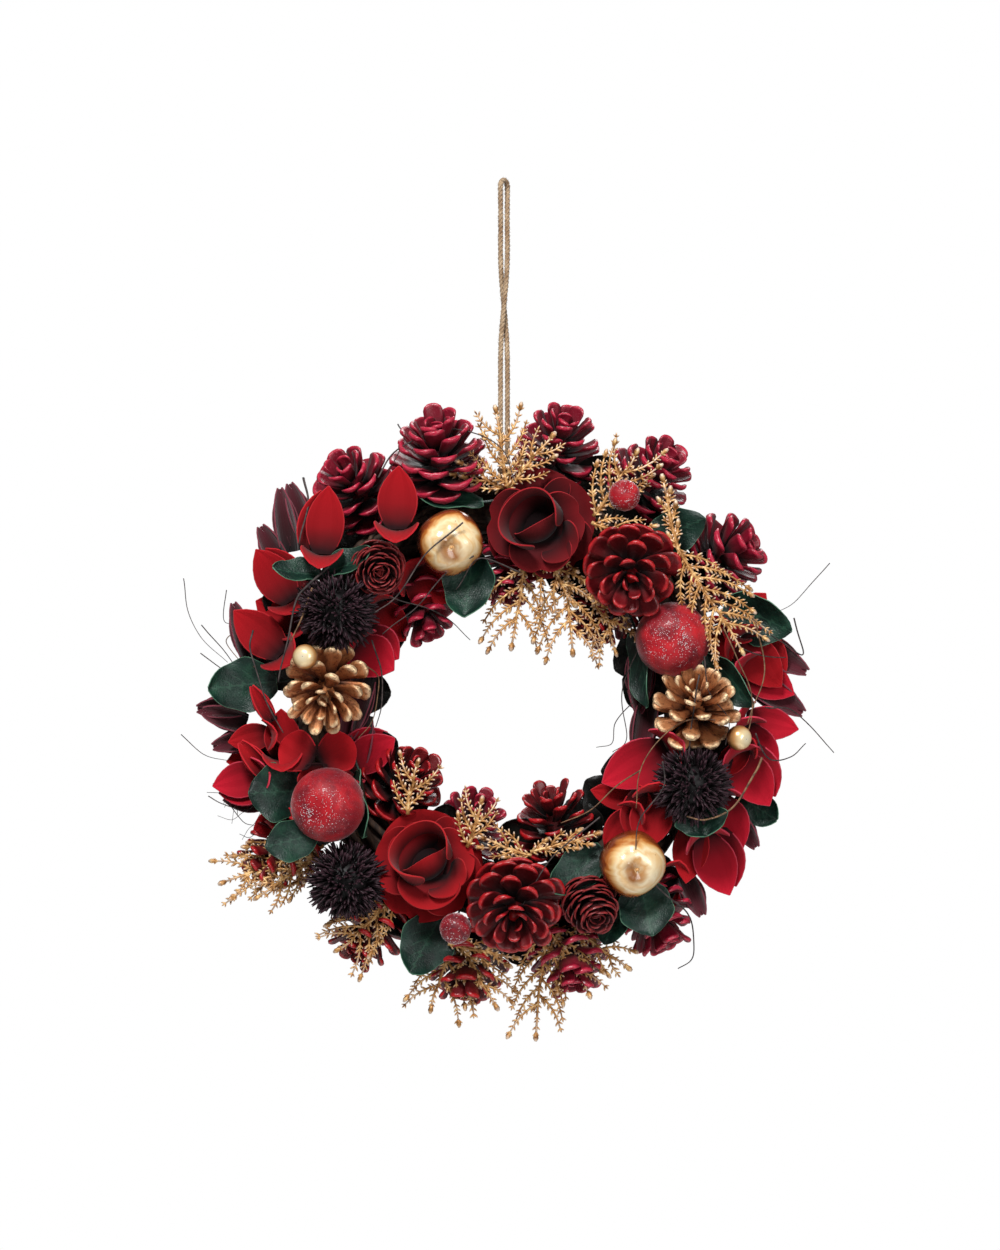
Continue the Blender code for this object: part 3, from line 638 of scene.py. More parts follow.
TWINE_DIAMETER = 3.2 * MM
PLIES = 3
PLY_RADIUS = 0.265
PLY_REACH = 0.235
KNOT_STRAND = 2.6 * MM
COLLAR_STRAND = 2.2 * MM
WRAP_STRAND = 3.0 * MM
WRAP_TURNS = 4
TWINE_CROWN = (0, 0, 1.6)
TWINE_SIDE = [
    (1.4, 2.4, 0.4), (2.0, 3.5, -2.4), (2.0, 2.6, -9), (1.9, 1.5, -18), (1.9, 0.6, -27), (2.0, 0.0, -36),
    (1.9, -0.7, -45), (1.5, -1.4, -54), (0.8, -1.9, -63), (0.0, -2.0, -71), (-0.8, -1.9, -80),
    (-1.5, -1.4, -89), (-1.9, -0.7, -98), (-2.0, 0.0, -108), (-2.0, 0.3, -118), (-2.0, 0.1, -130),
    (-2.0, 0.0, -142), (-2.0, 0.0, -152), (-2.0, 0.0, -163),
]


def add_strand(bm, route, diameter, pitch, fuzz=0.0):
    """Laid twine along a route: plies wound round each other, with fuzz short loose fibres a mm."""
    places = frames_along(route)
    travelled, lengths = 0.0, [0.0]
    for start, end in zip(route, route[1:]):
        travelled += (end - start).length
        lengths.append(travelled)
    for ply in range(PLIES):
        points = []
        for place, length in zip(places, lengths):
            angle = TURN * (length / pitch + ply / PLIES)
            reach = PLY_REACH * diameter
            points.append(place @ Vector((reach * math.cos(angle), reach * math.sin(angle), 0)))
        add_rod(bm, points, PLY_RADIUS * diameter, 6)
    for _ in range(int(fuzz * travelled / MM)):
        place = places[draws.randrange(len(places))]
        turn = draws.uniform(0, TURN)
        out = Vector((math.cos(turn), math.sin(turn), draws.uniform(-1.5, 1.5)))
        start = place @ (Vector((math.cos(turn), math.sin(turn), 0)) * 0.40 * diameter)
        bend = place.to_3x3() @ out * draws.uniform(0.5, 1.1) * MM
        end = start + bend + Vector((0, 0, draws.uniform(-0.4, 0.4) * MM))
        add_rod(bm, [start, start + bend * 0.6, end], lambda t: (0.07 - 0.05 * t) * MM, 3)


def make_twine_loop():
    side = [Vector(p) * MM for p in TWINE_SIDE]
    other = [Vector((-p.x, -p.y, p.z)) for p in side]
    anchors = [*reversed(side), Vector(TWINE_CROWN) * MM, *other]
    path = smooth_route(anchors, 2)
    length = sum((end - start).length for start, end in zip(path, path[1:]))
    bm = new_shape()
    add_strand(bm, smooth_route(anchors, 11), TWINE_DIAMETER, 8 * MM, fuzz=3.6)
    loop = settle(bm, "twine_loop_strands", TWINE, body=None, stands_for=["twine_loop"], sharp=0)
    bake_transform(loop, "hanger", "knot", start=(0, 0, -0.125), end=(0, 0, -0.163))
    tuple(path[0])
    [tuple(p) for p in path]


def make_knot():
    """A three-lobed tangle of twine, with two collars round it."""
    low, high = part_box("twine_knot")
    centre, reach = (low + high) / 2, (high.x - low.x) / 2
    bm = new_shape()
    points = []
    for step in range(73):
        t = TURN * step / 72
        wide = (2 + math.cos(3 * t)) / 3
        lobe = Vector((wide * math.cos(2 * t), math.sin(3 * t) * 0.55, wide * math.sin(2 * t)))
        points.append(centre + lobe * reach * 0.70)
    add_strand(bm, smooth_route(points, 2), KNOT_STRAND, 6 * MM)
    for height in (-0.35, 0.35):
        loop = []
        for k in range(21):
            angle = TURN * k / 20
            loop.append(centre + Vector((math.cos(angle) * 0.66, math.sin(angle) * 0.66, height)) * reach)
        add_strand(bm, loop, COLLAR_STRAND, 6 * MM)
    settle(bm, "twine_knot_turns", TWINE, "knot", ["twine_knot"], sharp=0)


def make_wrap():
    """Turns of twine bound round the vines under the knot."""
    low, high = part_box("twine_wrap")
    bm = new_shape()
    points = []
    steps = 40
    middle = RING_CENTRE + Vector((0, 0, RING_RADIUS))
    reach = TUBE_RADIUS - 0.6 * MM
    half = TWINE_DIAMETER / 2
    for k in range(WRAP_TURNS * steps + 1):
        angle = TURN * k / steps
        x = low.x + half + (high.x - low.x - TWINE_DIAMETER) * k / (WRAP_TURNS * steps)
        y = min(reach * math.cos(angle), BACK_Y - middle.y - half)
        points.append(middle + Vector((x, y, reach * math.sin(angle))))
    add_strand(bm, points, WRAP_STRAND, 7 * MM)
    settle(bm, "twine_wrap_turns", TWINE, "wreath", ["twine_wrap"], sharp=0)


make_twine_loop()
make_knot()
make_wrap()


# ---------------------------------------------------------------- vines

VINES = 34
VINE_STEPS = 84
PINCH = 0.17
PINCH_REACH = 9 * MM
CORE_RADIUS = 12 * MM


def make_vine_ring():
    """Vines wound into a ring, pressed flat at the back and pinched where the twine binds them."""
    bm = new_shape()
    for _ in range(VINES):
        thick = draws.uniform(1.3, 2.6) * MM
        layer = draws.uniform(0.35, 1.0)
        start, winds = draws.uniform(0, TURN), draws.choice((-2, -1, 1, 2, 3))
        sway = draws.uniform(0, TURN)
        points = []
        for k in range(VINE_STEPS + 1):
            clock = TURN * k / VINE_STEPS
            arc = RING_RADIUS * min(clock, TURN - clock)
            pinch = 1 - PINCH * math.exp(-((arc / PINCH_REACH) ** 2))
            turn = start + winds * clock + 0.5 * math.sin(3 * clock + sway)
            reach = (TUBE_RADIUS - thick) * layer * pinch * (0.94 + 0.06 * math.sin(5 * clock + sway))
            outward, _ = around(math.degrees(clock))
            y = min(reach * math.cos(turn), BACK_Y - RING_CENTRE.y - thick)
            points.append(RING_CENTRE + outward * (RING_RADIUS + reach * math.sin(turn)) + Vector((0, y, 0)))
        add_rod(bm, points, thick)
    core = [RING_CENTRE + around(6 * k)[0] * RING_RADIUS - FRONT * 2 * MM for k in range(61)]
    add_rod(bm, core, CORE_RADIUS, 10)
    settle(bm, "vine_ring_canes", BARK, stands_for=["vine_ring"], sharp=0)


make_vine_ring()


# ---------------------------------------------------------------- pine cones

def scale_form(thick, club, cup, shoulders=1.0, keel=0.0):
    """One cone scale, a unit wide and long: a tongue up Y from its root, thickened at its rounded lip."""
    bm = new_shape()
    bm.from_mesh(straight_rod(7, 10))
    shares = [0.0, 0.24, 0.50, 0.74, 0.90, 0.97, 1.0]
    widths = [0.44, 0.60, 0.82 * shoulders, 0.98, 1.0, 0.86, 0.54]
    thicks = [1.2, 0.9, 0.8, 0.9, club, club * 0.95, club * 0.5]
    tip, rib = (bm.verts.layers.float[name] for name in ("tip", "rib"))
    for vert in bm.verts:
        k = round(vert.co.z)
        x = vert.co.x * widths[k] / 2
        share = shares[k]
        ridge = keel * max(0, 1 - abs(5 * x)) * math.sin(3 * share)
        rise = 0.24 * share**2 + cup * (2 * x) ** 2 * share + ridge
        vert[tip], vert[rib] = share, 0.5 + 0.5 * math.cos(14 * x)
        vert.co = (x, share - 0.10 * (2 * x) ** 2 * share, rise + vert.co.y * thicks[k] * thick / 2)
    return kept(bm)


# The form of each kind of scale, and how broad it is for its cone's width.
CONE_SCALES = {
    "plain": (scale_form(0.15, 1.8, 0.14), 0.29),
    "broad": (scale_form(0.12, 1.9, 0.18, shoulders=1.1), 0.36),
    "narrow": (scale_form(0.20, 1.8, 0.10, shoulders=0.9, keel=0.10), 0.235),
    "thin": (scale_form(0.09, 1.3, 0.14), 0.42),
}
# How wide a cone is, of its full width, at each share of the way up it.
CONE_GIRTH = [(0.0, 0.74), (0.18, 0.94), (0.38, 1.0), (0.62, 0.88), (0.82, 0.62), (1.0, 0.26)]
ROSETTE_GIRTH = [(0.0, 0.80), (0.25, 1.0), (0.5, 0.92), (0.75, 0.62), (1.0, 0.14)]


def add_cone(bm, place, width, length, count, form, girth=CONE_GIRTH, low=-20, high=66):
    """A pine cone: scales set round a core by the golden turn, from low degrees at its foot to high."""
    scale_mesh, spread = CONE_SCALES[form]
    start = draws.uniform(0, TURN)
    for k in range(count):
        t = k / (count - 1)
        for (t0, g0), (t1, g1) in zip(girth, girth[1:]):
            if t0 <= t <= t1:
                reach = 0.5 * width * (g0 + (g1 - g0) * (t - t0) / (t1 - t0))
        lean = low + (high - low) * t**1.2 + draws.uniform(-6, 6)
        core = 0.5 * width * (0.22 - 0.16 * t)
        height = length * (0.12 + 0.58 * t)
        tongue = (reach - core) / max(math.cos(math.radians(lean)), 0.5)
        tongue = max(tongue, 0.17 * width) * draws.uniform(0.93, 1.06)
        broad = width * spread * (1 - 0.55 * t**1.5) * draws.uniform(0.9, 1.1)
        turn = Matrix.Rotation(start + k * GOLDEN_TURN, 4, "Z")
        tilt = spun(lean, "X") @ spun(draws.uniform(-8, 8), "Y")
        size = Matrix.Diagonal((broad, tongue, broad, 1))
        add_copy(bm, scale_mesh, place @ turn @ moved(0, core, height) @ tilt @ size)
    axis = [place @ Vector((0, 0, length * h)) for h in (-0.04, 0.1, 0.3, 0.5, 0.66, 0.76)]
    add_rod(bm, axis, lambda t: width * (0.17 - 0.12 * t), 8)


def tipped(place, height, degrees, towards):
    """A seat turned about a point up its axis, so that the axis leans towards a direction."""
    middle = place @ Vector((0, 0, height))
    axis = (place.to_3x3() @ Vector((0, 0, 1))).cross(towards).normalized()
    return Matrix.Translation(middle) @ spun(degrees, axis) @ Matrix.Translation(-middle) @ place


# Node; clock angle that its tip points to; degrees that the tip leans forward; width and length in mm;
# how far in mm it is pushed out from the ring's centre; paint; form of its scales; how many.
CONES = [
    ("red_cone_outer_10", 355, 26, 57, 47, -3, DUSKY_SCALE, "broad", 46),
    ("red_cone_outer_1", 16, 34, 52, 46, -2, DUSKY_SCALE, "broad", 36),
    ("red_cone_outer_2", 40, 26, 52, 46, -3, DUSKY_SCALE, "broad", 38),
    ("red_cone_outer_3", 66, 22, 54, 45, -3, DUSKY_SCALE, "broad", 40),
    ("red_cone_outer_9", 326, 40, 54, 44, -3, DUSKY_SCALE, "broad", 36),
    ("red_cone_outer_4", 152, 20, 50, 42, -4, DUSKY_SCALE, "broad", 36),
    ("red_cone_outer_5", 166, 22, 52, 46, -2, DUSKY_SCALE, "broad", 38),
    ("red_cone_outer_6", 190, 24, 50, 46, -1, RED_SCALE, "broad", 38),
    ("red_cone_outer_7", 212, 22, 50, 45, -2, RED_SCALE, "plain", 38),
    ("red_cone_outer_8", 240, 18, 50, 45, -4, RED_SCALE, "plain", 38),
    ("red_cone_inner_1", 225, 24, 42, 38, 12, RED_SCALE, "plain", 36),
    ("red_cone_inner_2", 352, 22, 50, 44, 12, RED_SCALE, "plain", 40),
    ("red_cone_inner_3", 24, 38, 46, 42, 9, DUSKY_SCALE, "plain", 38),
    ("red_cone_inner_4", 42, 34, 50, 44, 12, RED_SCALE, "broad", 38),
    ("red_cone_inner_5", 170, 24, 44, 38, 12, DUSKY_SCALE, "broad", 32),
    ("red_cone_inner_6", 184, 24, 42, 38, 12, DUSKY_SCALE, "plain", 36),
    ("red_cone_front_1", 184, 66, 57, 42, 0, RED_SCALE, "plain", 38),
    ("red_cone_front_2", 186, 64, 58, 44, 0, RED_SCALE, "plain", 44),
    ("gold_cone_left", 196, 56, 52, 42, 0, GOLD_SCALE, "narrow", 36),
    ("gold_cone_right", 2, 52, 52, 42, 0, GOLD_SCALE, "narrow", 34),
]
ROSETTE_WIDTH = 34.98 * MM
ROSETTE_LENGTH = 33 * MM


def make_cones():
    for node, clock, forward, width, length, push, paint, form, count in CONES:
        middle = middle_of(node)
        outward = middle - RING_CENTRE
        outward.y = 0
        middle += outward.normalized() * push * MM
        place = facing(middle, clock, forward) @ moved(0, 0, -0.48 * length * MM)
        bm = new_shape()
        add_cone(bm, place, width * MM, length * MM, count, form)
        settle(bm, node + "_scales", paint, stands_for=[node], sharp=0)
    for node in ("rosette_cone_upper", "rosette_cone_lower"):
        bm = new_shape()
        seat = seat_of(node, ROSETTE_LENGTH)
        place = tipped(seat, 0.45 * ROSETTE_LENGTH, 14, Vector((0.6, 0, -1)))
        add_cone(bm, place, ROSETTE_WIDTH, ROSETTE_LENGTH, 72, "thin", ROSETTE_GIRTH, low=4, high=80)
        settle(bm, node + "_scales", ROSETTE_SCALE, stands_for=[node], sharp=0)


make_cones()


# ---------------------------------------------------------------- roses

ROSE_HEIGHT = 34 * MM
# Degrees round the rose; length and width in mm; lean at root and tip; roll, height and reach in mm.
ROSE_PETALS = [
    (14, 31, 44, 80, 96, 60, 0, 2), (84, 30, 42, 64, 98, 26, 3, 2), (152, 32, 44, 82, 96, 60, 0, 2),
    (226, 31, 44, 64, 96, 28, 4, 2), (298, 31, 42, 76, 104, 40, 1, 2),
    (48, 24, 36, 34, 92, 20, 7, 5), (178, 25, 40, 30, 84, 20, 8, 6), (292, 24, 36, 38, 94, 20, 7, 5),
    (232, 20, 30, 18, 60, 15, 10, 11),
]


def make_rose(node, turn, finish):
    """A rose of cut shaving: broad petals laid open, smaller ones round its heart, and a rolled cup."""
    bm = new_shape()
    place = seat_of(node, ROSE_HEIGHT) @ spun(turn)
    broad = {"pointed": False, "thick": 0.8 * MM}
    for angle, length, width, root, tip, wrap, height, out in ROSE_PETALS:
        seat = place @ spun(angle + draws.uniform(-5, 5)) @ moved(0, out * MM, height * MM)
        add_petal(bm, seat, length * MM, width * MM, root + draws.uniform(-4, 4),
                  tip + draws.uniform(-6, 6), wrap * MM, rows=12, columns=14, flare=0.25,
                  notch=draws.choice((0, 0, 0.1)), **broad)
    cup = place @ spun(42) @ moved(0, 1 * MM, 0) @ spun(-9, "X") @ Matrix.Diagonal((1.08, 0.92, 1, 1))
    outer, inner = cup @ moved(0, 13.5 * MM, 9 * MM), cup @ spun(165) @ moved(0, 11 * MM, 10 * MM)
    add_petal(bm, outer, 21 * MM, 84 * MM, 2, 40, 15 * MM, rows=10, columns=26, flare=0.12, **broad)
    add_petal(bm, inner, 21 * MM, 36 * MM, 4, -62, 13 * MM, rows=12, columns=14, **broad)
    turned(bm, [(0, 12 * MM), (9 * MM, 11 * MM), (13 * MM, 8 * MM), (8 * MM, 1 * MM), (0, 0)], 16, place)
    settle(bm, node + "_petals", finish, stands_for=[node])


make_rose("red_rose_upper", 10, ROSE_DEEP)
make_rose("red_rose_lower", 207, ROSE_RED)


# ---------------------------------------------------------------- fruit

GOLD_APPLE_WIDTH = 38 * MM
GOLD_APPLE_SQUASH = 0.94
GOLD_BERRY_WIDTH = 14.5 * MM
FROSTED_APPLE_WIDTH = 43 * MM
FROSTED_BERRY_WIDTH = 18 * MM
APPLE_CRYSTALS = 5600
BERRY_CRYSTALS = 900
WIRE_RADIUS = 0.7 * MM


def fruit_outline(width, dimple, steps, squash):
    """Half the outline of a fruit from its eye to its foot."""
    half, height = width / 2, width * squash
    points = [(0.0, height * (1 - dimple)), (0.06 * half, height * (1.008 - dimple))]
    for k in range(steps):
        angle = math.radians(84 - 164 * k / (steps - 1))
        sink = dimple * height * math.exp(-((math.cos(angle) / 0.26) ** 2)) if angle > 0 else 0.0
        points.append((half * math.cos(angle), height * (0.5 + 0.5 * math.sin(angle)) - sink))
    return [*points, (0.0, 0.012 * height)]


def make_wire(node, place, length):
    """The wire stem of a berry, from its foot down into the ring."""
    bm = new_shape()
    add_rod(bm, [place @ Vector((0.4 * MM * math.sin(3 * k), 0, -length * k / 5)) for k in range(6)],
            WIRE_RADIUS)
    settle(bm, node + "_wire", DARK_TENDRIL, sharp=0)


def make_gold_apple(node):
    """A gilt apple, lobed a little, with a bead in its eye; rib marks its lower left side, which the finish
    darkens as painted shade.
    """
    height = GOLD_APPLE_SQUASH * GOLD_APPLE_WIDTH
    place = seat_of(node, height)
    bm = new_shape()
    turned(bm, fruit_outline(GOLD_APPLE_WIDTH, 0.10, 18, GOLD_APPLE_SQUASH), 36, place)
    shaded_side = bm.verts.layers.float["rib"]
    for vert in bm.verts:
        out = (vert.co - place @ Vector((0, 0, 18 * MM))).normalized()
        vert[shaded_side] = 0.5 + 0.5 * out.dot(Vector((-0.8, 0, -0.6)))
        lobes = math.cos(4 * math.atan2(out.z, out.x) + 0.6)
        vert.co += out * (0.5 * noise.noise(vert.co * 70) + 0.5 * lobes) * MM
    add_ball(bm, place @ Vector((0, 0, 0.90 * height)), 1.1 * MM, 2)
    settle(bm, node + "_gilt", GILT, stands_for=[node], sharp=0)


def make_gold_berry(node, stem):
    place = seat_of(node, GOLD_BERRY_WIDTH)
    bm = new_shape()
    turned(bm, fruit_outline(GOLD_BERRY_WIDTH, 0.05, 12, 1.0), 24, place)
    settle(bm, node + "_bead", PEARL, stands_for=[node], sharp=0)
    make_wire(node, place, stem)


def make_frosted(node, width, crystals, stem=0):
    """A frosted fruit and its crystals, thickest in patches and at its sides seen from the front; rim marks
    the sides, whose whiter frost colour is a painted sheen.
    """
    place = seat_of(node, width)
    bm = new_shape()
    turned(bm, fruit_outline(width, 0.06, 16, 0.97), 32, place)
    rim = bm.verts.layers.float["rim"]
    middle = place @ Vector((0, 0, 0.48 * width))
    for vert in bm.verts:
        out = (vert.co - middle).normalized()
        vert[rim] = 1 - abs(out.y)
        vert.co += out * 0.25 * MM * noise.noise(vert.co * 120)
    settle(bm, node + "_skin", FROSTED, stands_for=[node], sharp=0)
    bead = new_shape()
    bmesh.ops.create_icosphere(bead, subdivisions=1, radius=1)
    form = kept(bead)
    bm = new_shape()
    for _ in range(crystals):
        z = draws.uniform(-0.9, 1)
        turn = draws.uniform(0, TURN)
        flat = math.sqrt(1 - z * z)
        out = Vector((flat * math.cos(turn), flat * math.sin(turn), z))
        thick = noise.noise(out * 2.2 + Vector((width * 900, 0, 0)))
        world = place.to_3x3() @ out
        if draws.random() > 0.30 + 1.2 * max(thick, 0) + 0.75 * (1 - abs(world.y)) ** 2:
            continue
        point = middle + world * (0.487 * width + 0.1 * MM)
        grain = draws.uniform(0.13, 0.30) * MM
        size = Matrix.Diagonal((grain, grain * 1.3, grain * 0.8, 1))
        add_copy(bm, form, Matrix.Translation(point) @ Matrix.Rotation(turn, 4, "X") @ size)
    settle(bm, node + "_sugar", SUGAR, sharp=10)
    if stem:
        make_wire(node, place, stem)


make_gold_apple("gold_apple_upper")
make_gold_apple("gold_apple_lower")
make_gold_berry("gold_berry_left", 30 * MM)
make_gold_berry("gold_berry_right", 28 * MM)
make_frosted("frosted_apple_left", FROSTED_APPLE_WIDTH, APPLE_CRYSTALS)
make_frosted("frosted_apple_right", FROSTED_APPLE_WIDTH, APPLE_CRYSTALS)
make_frosted("frosted_berry_upper", FROSTED_BERRY_WIDTH, BERRY_CRYSTALS, 22 * MM)
make_frosted("frosted_berry_lower", FROSTED_BERRY_WIDTH, BERRY_CRYSTALS, 22 * MM)


# ---------------------------------------------------------------- spiky pods

POD_WIDTH = 42 * MM
POD_CORE = 15 * MM
POD_TUFTS = 40
TUFT_BRISTLES = 20


def make_pod(node):
    """A seed pod: dark bristles all over a round core, gathered in small star-shaped tufts."""
    place = seat_of(node, POD_WIDTH)
    middle = Vector((0, 0, POD_WIDTH / 2))
    spike = new_shape()
    spike.from_mesh(straight_rod(4, 4))
    tip = spike.verts.layers.float["tip"]
    for vert in spike.verts:
        k = round(vert.co.z)
        girth = (0.7, 1.0, 0.85, 0.3)[k]
        vert[tip] = k / 3
        vert.co = (vert.co.x * girth, vert.co.y * girth, k / 3)
    form = kept(spike)
    bm = new_shape()
    for k in range(POD_TUFTS):
        z = 1 - 1.84 * (k + 0.5) / POD_TUFTS
        flat = math.sqrt(1 - z * z)
        heart = Vector((flat * math.cos(k * GOLDEN_TURN), flat * math.sin(k * GOLDEN_TURN), z))
        for _ in range(TUFT_BRISTLES):
            splay = Vector([draws.gauss(0, 0.42) for _ in range(3)])
            foot = heart * 13.5 + splay * 3.2
            out = (heart + splay).normalized()
            turn = out.to_track_quat("Z", "Y").to_matrix().to_4x4()
            reach = min(draws.uniform(7.5, 10.5), 25.5 - 13.5 * heart.dot(out)) * MM
            girth = draws.uniform(0.75, 1.1) * MM
            local = Matrix.Translation(middle + foot * MM) @ turn
            add_copy(bm, form, place @ local @ Matrix.Diagonal((girth, girth, reach, 1)))
    add_ball(bm, place @ middle, POD_CORE, 3)
    settle(bm, node + "_bristles", BRISTLE, stands_for=[node], sharp=0)


make_pod("spiky_pod_upper")
make_pod("spiky_pod_lower")
make_pod("spiky_pod_right")


# ---------------------------------------------------------------- petal flowers and husks

def add_open_flower(bm, place, length, width, second):
    """A half-open flower: a tall pointed back petal, a second at its side if any, and a lip in front."""
    add_petal(bm, place @ moved(0, 2 * MM, 0), length, width, 22, -6, 0.8 * width)
    if second:
        aside = moved(second * 0.34 * width, 4 * MM, -0.02 * length)
        beside = place @ aside @ spun(-second * 10, "Y") @ spun(-second * 18)
        add_petal(bm, beside, length * 0.96, width * 0.92, 30, -4, 0.8 * width)
    front = place @ spun(180) @ moved(0, -1 * MM, -0.01 * length)
    add_petal(bm, front, 0.60 * length, 1.16 * width, 84, 116, 0.60 * width)


def add_husk(bm, place, length, width):
    """A dried husk: two ribbed halves side by side, with a furrow between them, and a third behind."""
    for side in (-1, 1):
        seat = place @ moved(0.20 * side * width, 0, 0) @ spun(-4 * side, "Y") @ spun(-34 * side)
        add_petal(bm, seat, length, 0.62 * width, 10, -8, 0.42 * width, thick=0.8 * MM, rows=10,
                  columns=10, folds=0.25 * MM)
    add_petal(bm, place @ moved(0, 1.5 * MM, 0), 0.98 * length, width, 12, -10, 0.7 * width,
              thick=0.8 * MM, rows=9, columns=10, folds=0.3 * MM)


def add_front_cup(bm, place, width):
    """A cup facing forwards: two broad round petals that meet in a dark fold, and one under them."""
    for side in (-1, 1):
        seat = place @ spun(side * 62, "Y") @ moved(0, 3 * MM, 2 * MM)
        add_petal(bm, seat, 0.58 * width, 0.66 * width, 38, 6, 0.5 * width, pointed=False)
    under = place @ spun(180, "Y") @ moved(0, 3 * MM, 0)
    add_petal(bm, under, 0.5 * width, 0.6 * width, 50, 10, 0.5 * width, pointed=False)


# Node, or a name for a flower that only dresses the ring; clock, radius and depth of its root in mm;
# clock angle that it points to; degrees it tips forwards; kind; length and width in mm; finish, the brighter
# rosy one being painted light.
FLOWERS = [
    ("petal_flower_11", 309, 134, 36, 5, 8, "open", 40, 24, PETAL_RED),
    ("upper_left_flower", 328, 116, 42, 2, 8, "open_single", 37, 25, PETAL_RED),
    ("petal_flower_10", 295, 136, 16, 326, 8, "open_right", 37, 25, PETAL_RED),
    ("petal_flower_9", 282, 131, 20, 312, 10, "open_single", 38, 26, PETAL_RED),
    ("inner_left_bud", 306, 94, 14, 137, 6, "open_single", 28, 24, PETAL_RED),
    ("petal_flower_12", 291, 92, 22, 124, 10, "open", 27, 28, LIT_ROSY_PETAL),
    ("inner_left_flower", 324, 92, 18, 128, 12, "open_single", 28, 28, PETAL_RED),
    ("petal_flower_7", 252, 113, 36, 0, 0, "cup", 34, 36, PETAL_RED),
    ("left_bud", 255, 132, 20, 357, 6, "open_single", 30, 23, PETAL_RED),
    ("petal_flower_8", 253, 146, 12, 257, 4, "open", 31, 23, LIT_ROSY_PETAL),
    ("left_folded_bud", 253, 144, 20, 322, 4, "husk", 24, 13, PETAL_RED),
    ("left_lens_bud", 262, 136, 18, 259, 4, "open_single", 26, 18, PETAL_RED),
    ("left_dark_bud", 247, 146, 6, 268, 4, "open_single", 30, 17, HUSK_RED),
    ("low_left_bud", 243, 142, 10, 236, 4, "open_single", 24, 16, PETAL_RED),
    ("centre_left_flower", 247, 98, 14, 58, 8, "open", 32, 24, LIT_ROSY_PETAL),
    ("left_fill_petal", 291, 126, 12, 296, 4, "open_single", 30, 26, PETAL_RED),
    ("left_low_fill_petal", 257, 134, 8, 260, 4, "open_single", 32, 20, PETAL_RED),
    ("left_sliver", 265, 134, 26, 330, 4, "husk", 24, 10, PETAL_RED),
    ("petal_flower_1", 73, 138, 14, 42, 8, "open_single", 30, 23, PETAL_RED),
    ("upper_right_bud", 70, 130, 26, 160, 8, "open_single", 24, 15, PETAL_RED),
    ("upper_right_flower", 75, 140, 20, 138, 8, "open", 38, 27, PETAL_RED),
    ("petal_flower_2", 82, 140, 16, 118, 6, "open_single", 34, 24, LIT_ROSY_PETAL),
    ("petal_flower_3", 94, 140, 16, 102, 8, "open_single", 32, 21, LIT_ROSY_PETAL),
    ("right_flower", 96, 140, 20, 146, 6, "open_single", 33, 23, LIT_ROSY_PETAL),
    ("right_bud", 100, 142, 26, 222, 6, "open_single", 25, 17, PETAL_RED),
    ("petal_flower_4", 103, 138, 24, 147, 8, "open", 35, 27, LIT_ROSY_PETAL),
    ("right_low_flower", 114, 137, 18, 157, 8, "open_single", 33, 24, LIT_ROSY_PETAL),
    ("low_right_flower", 122, 130, 22, 188, 6, "open_single", 37, 23, PETAL_RED),
    ("petal_flower_5", 124, 139, 22, 156, 6, "open", 38, 27, LIT_ROSY_PETAL),
    ("low_right_bud", 134, 139, 8, 194, 4, "open_single", 30, 17, PETAL_RED),
    ("petal_flower_6", 106, 98, 26, 242, 10, "open_single", 43, 30, LIT_ROSY_PETAL),
    ("inner_right_bud", 126, 98, 20, 282, 6, "open_single", 30, 18, PETAL_RED),
    ("inner_right_flower", 121, 102, 34, 192, 10, "open_right", 33, 27, PETAL_RED),
    ("inner_right_petal", 130, 97, 28, 218, 8, "open_single", 27, 18, PETAL_RED),
    ("upper_left_husk", 305, 151, 10, 350, 2, "husk", 38, 16, HUSK_RED),
    ("left_husk", 301, 150, 8, 332, 2, "husk", 28, 16, HUSK_RED),
    ("upper_left_husk_tip", 310, 150, 8, 342, 2, "husk", 32, 16, HUSK_RED),
    ("low_left_husk_twin", 269, 150, 8, 266, 2, "husk", 29, 16, HUSK_RED),
    ("low_left_husk_low", 262, 144, 8, 256, 2, "husk", 28, 15, HUSK_RED),
    ("far_left_husk", 279, 148, 10, 342, 2, "husk", 36, 16, HUSK_RED),
    ("low_left_husk", 265, 150, 10, 286, 2, "husk", 27, 16, HUSK_RED),
    ("inner_right_husk", 68, 86, 10, 182, 2, "husk", 40, 19, HUSK_RED),
    ("inner_right_husk_low", 90, 84, 10, 190, 2, "husk", 36, 17, HUSK_RED),
    ("inner_left_husk", 282, 82, 10, 196, 2, "husk", 44, 20, HUSK_RED),
    ("inner_left_husk_low", 264, 82, 10, 184, 2, "husk", 32, 16, HUSK_RED),
    ("far_right_husk", 75, 145, 12, 120, 2, "husk", 42, 20, HUSK_RED),
    ("right_husk", 84, 142, 10, 124, 2, "husk", 40, 20, HUSK_RED),
    ("low_right_husk", 134, 146, 8, 156, 2, "husk", 26, 15, HUSK_RED),
    ("right_low_husk", 116, 148, 8, 146, 2, "husk", 25, 14, HUSK_RED),
]


# The side that a flower's second petal stands on, or 0 for none.
SECOND_PETAL = {"open": -1, "open_right": 1, "open_single": 0}


def make_flowers():
    for name, clock, radius, depth, points_to, forward, kind, length, width, finish in FLOWERS:
        bm = new_shape()
        place = facing(ring_point(clock, radius, depth), points_to, forward)
        length, width = length * MM, width * MM
        if kind == "husk":
            add_husk(bm, place, length, width)
        elif kind == "cup":
            add_front_cup(bm, place, 1.15 * width)
        else:
            add_open_flower(bm, place, length, width, SECOND_PETAL[kind])
        settle_trimming(bm, name, "_petals", finish)


make_flowers()


# ---------------------------------------------------------------- leaves

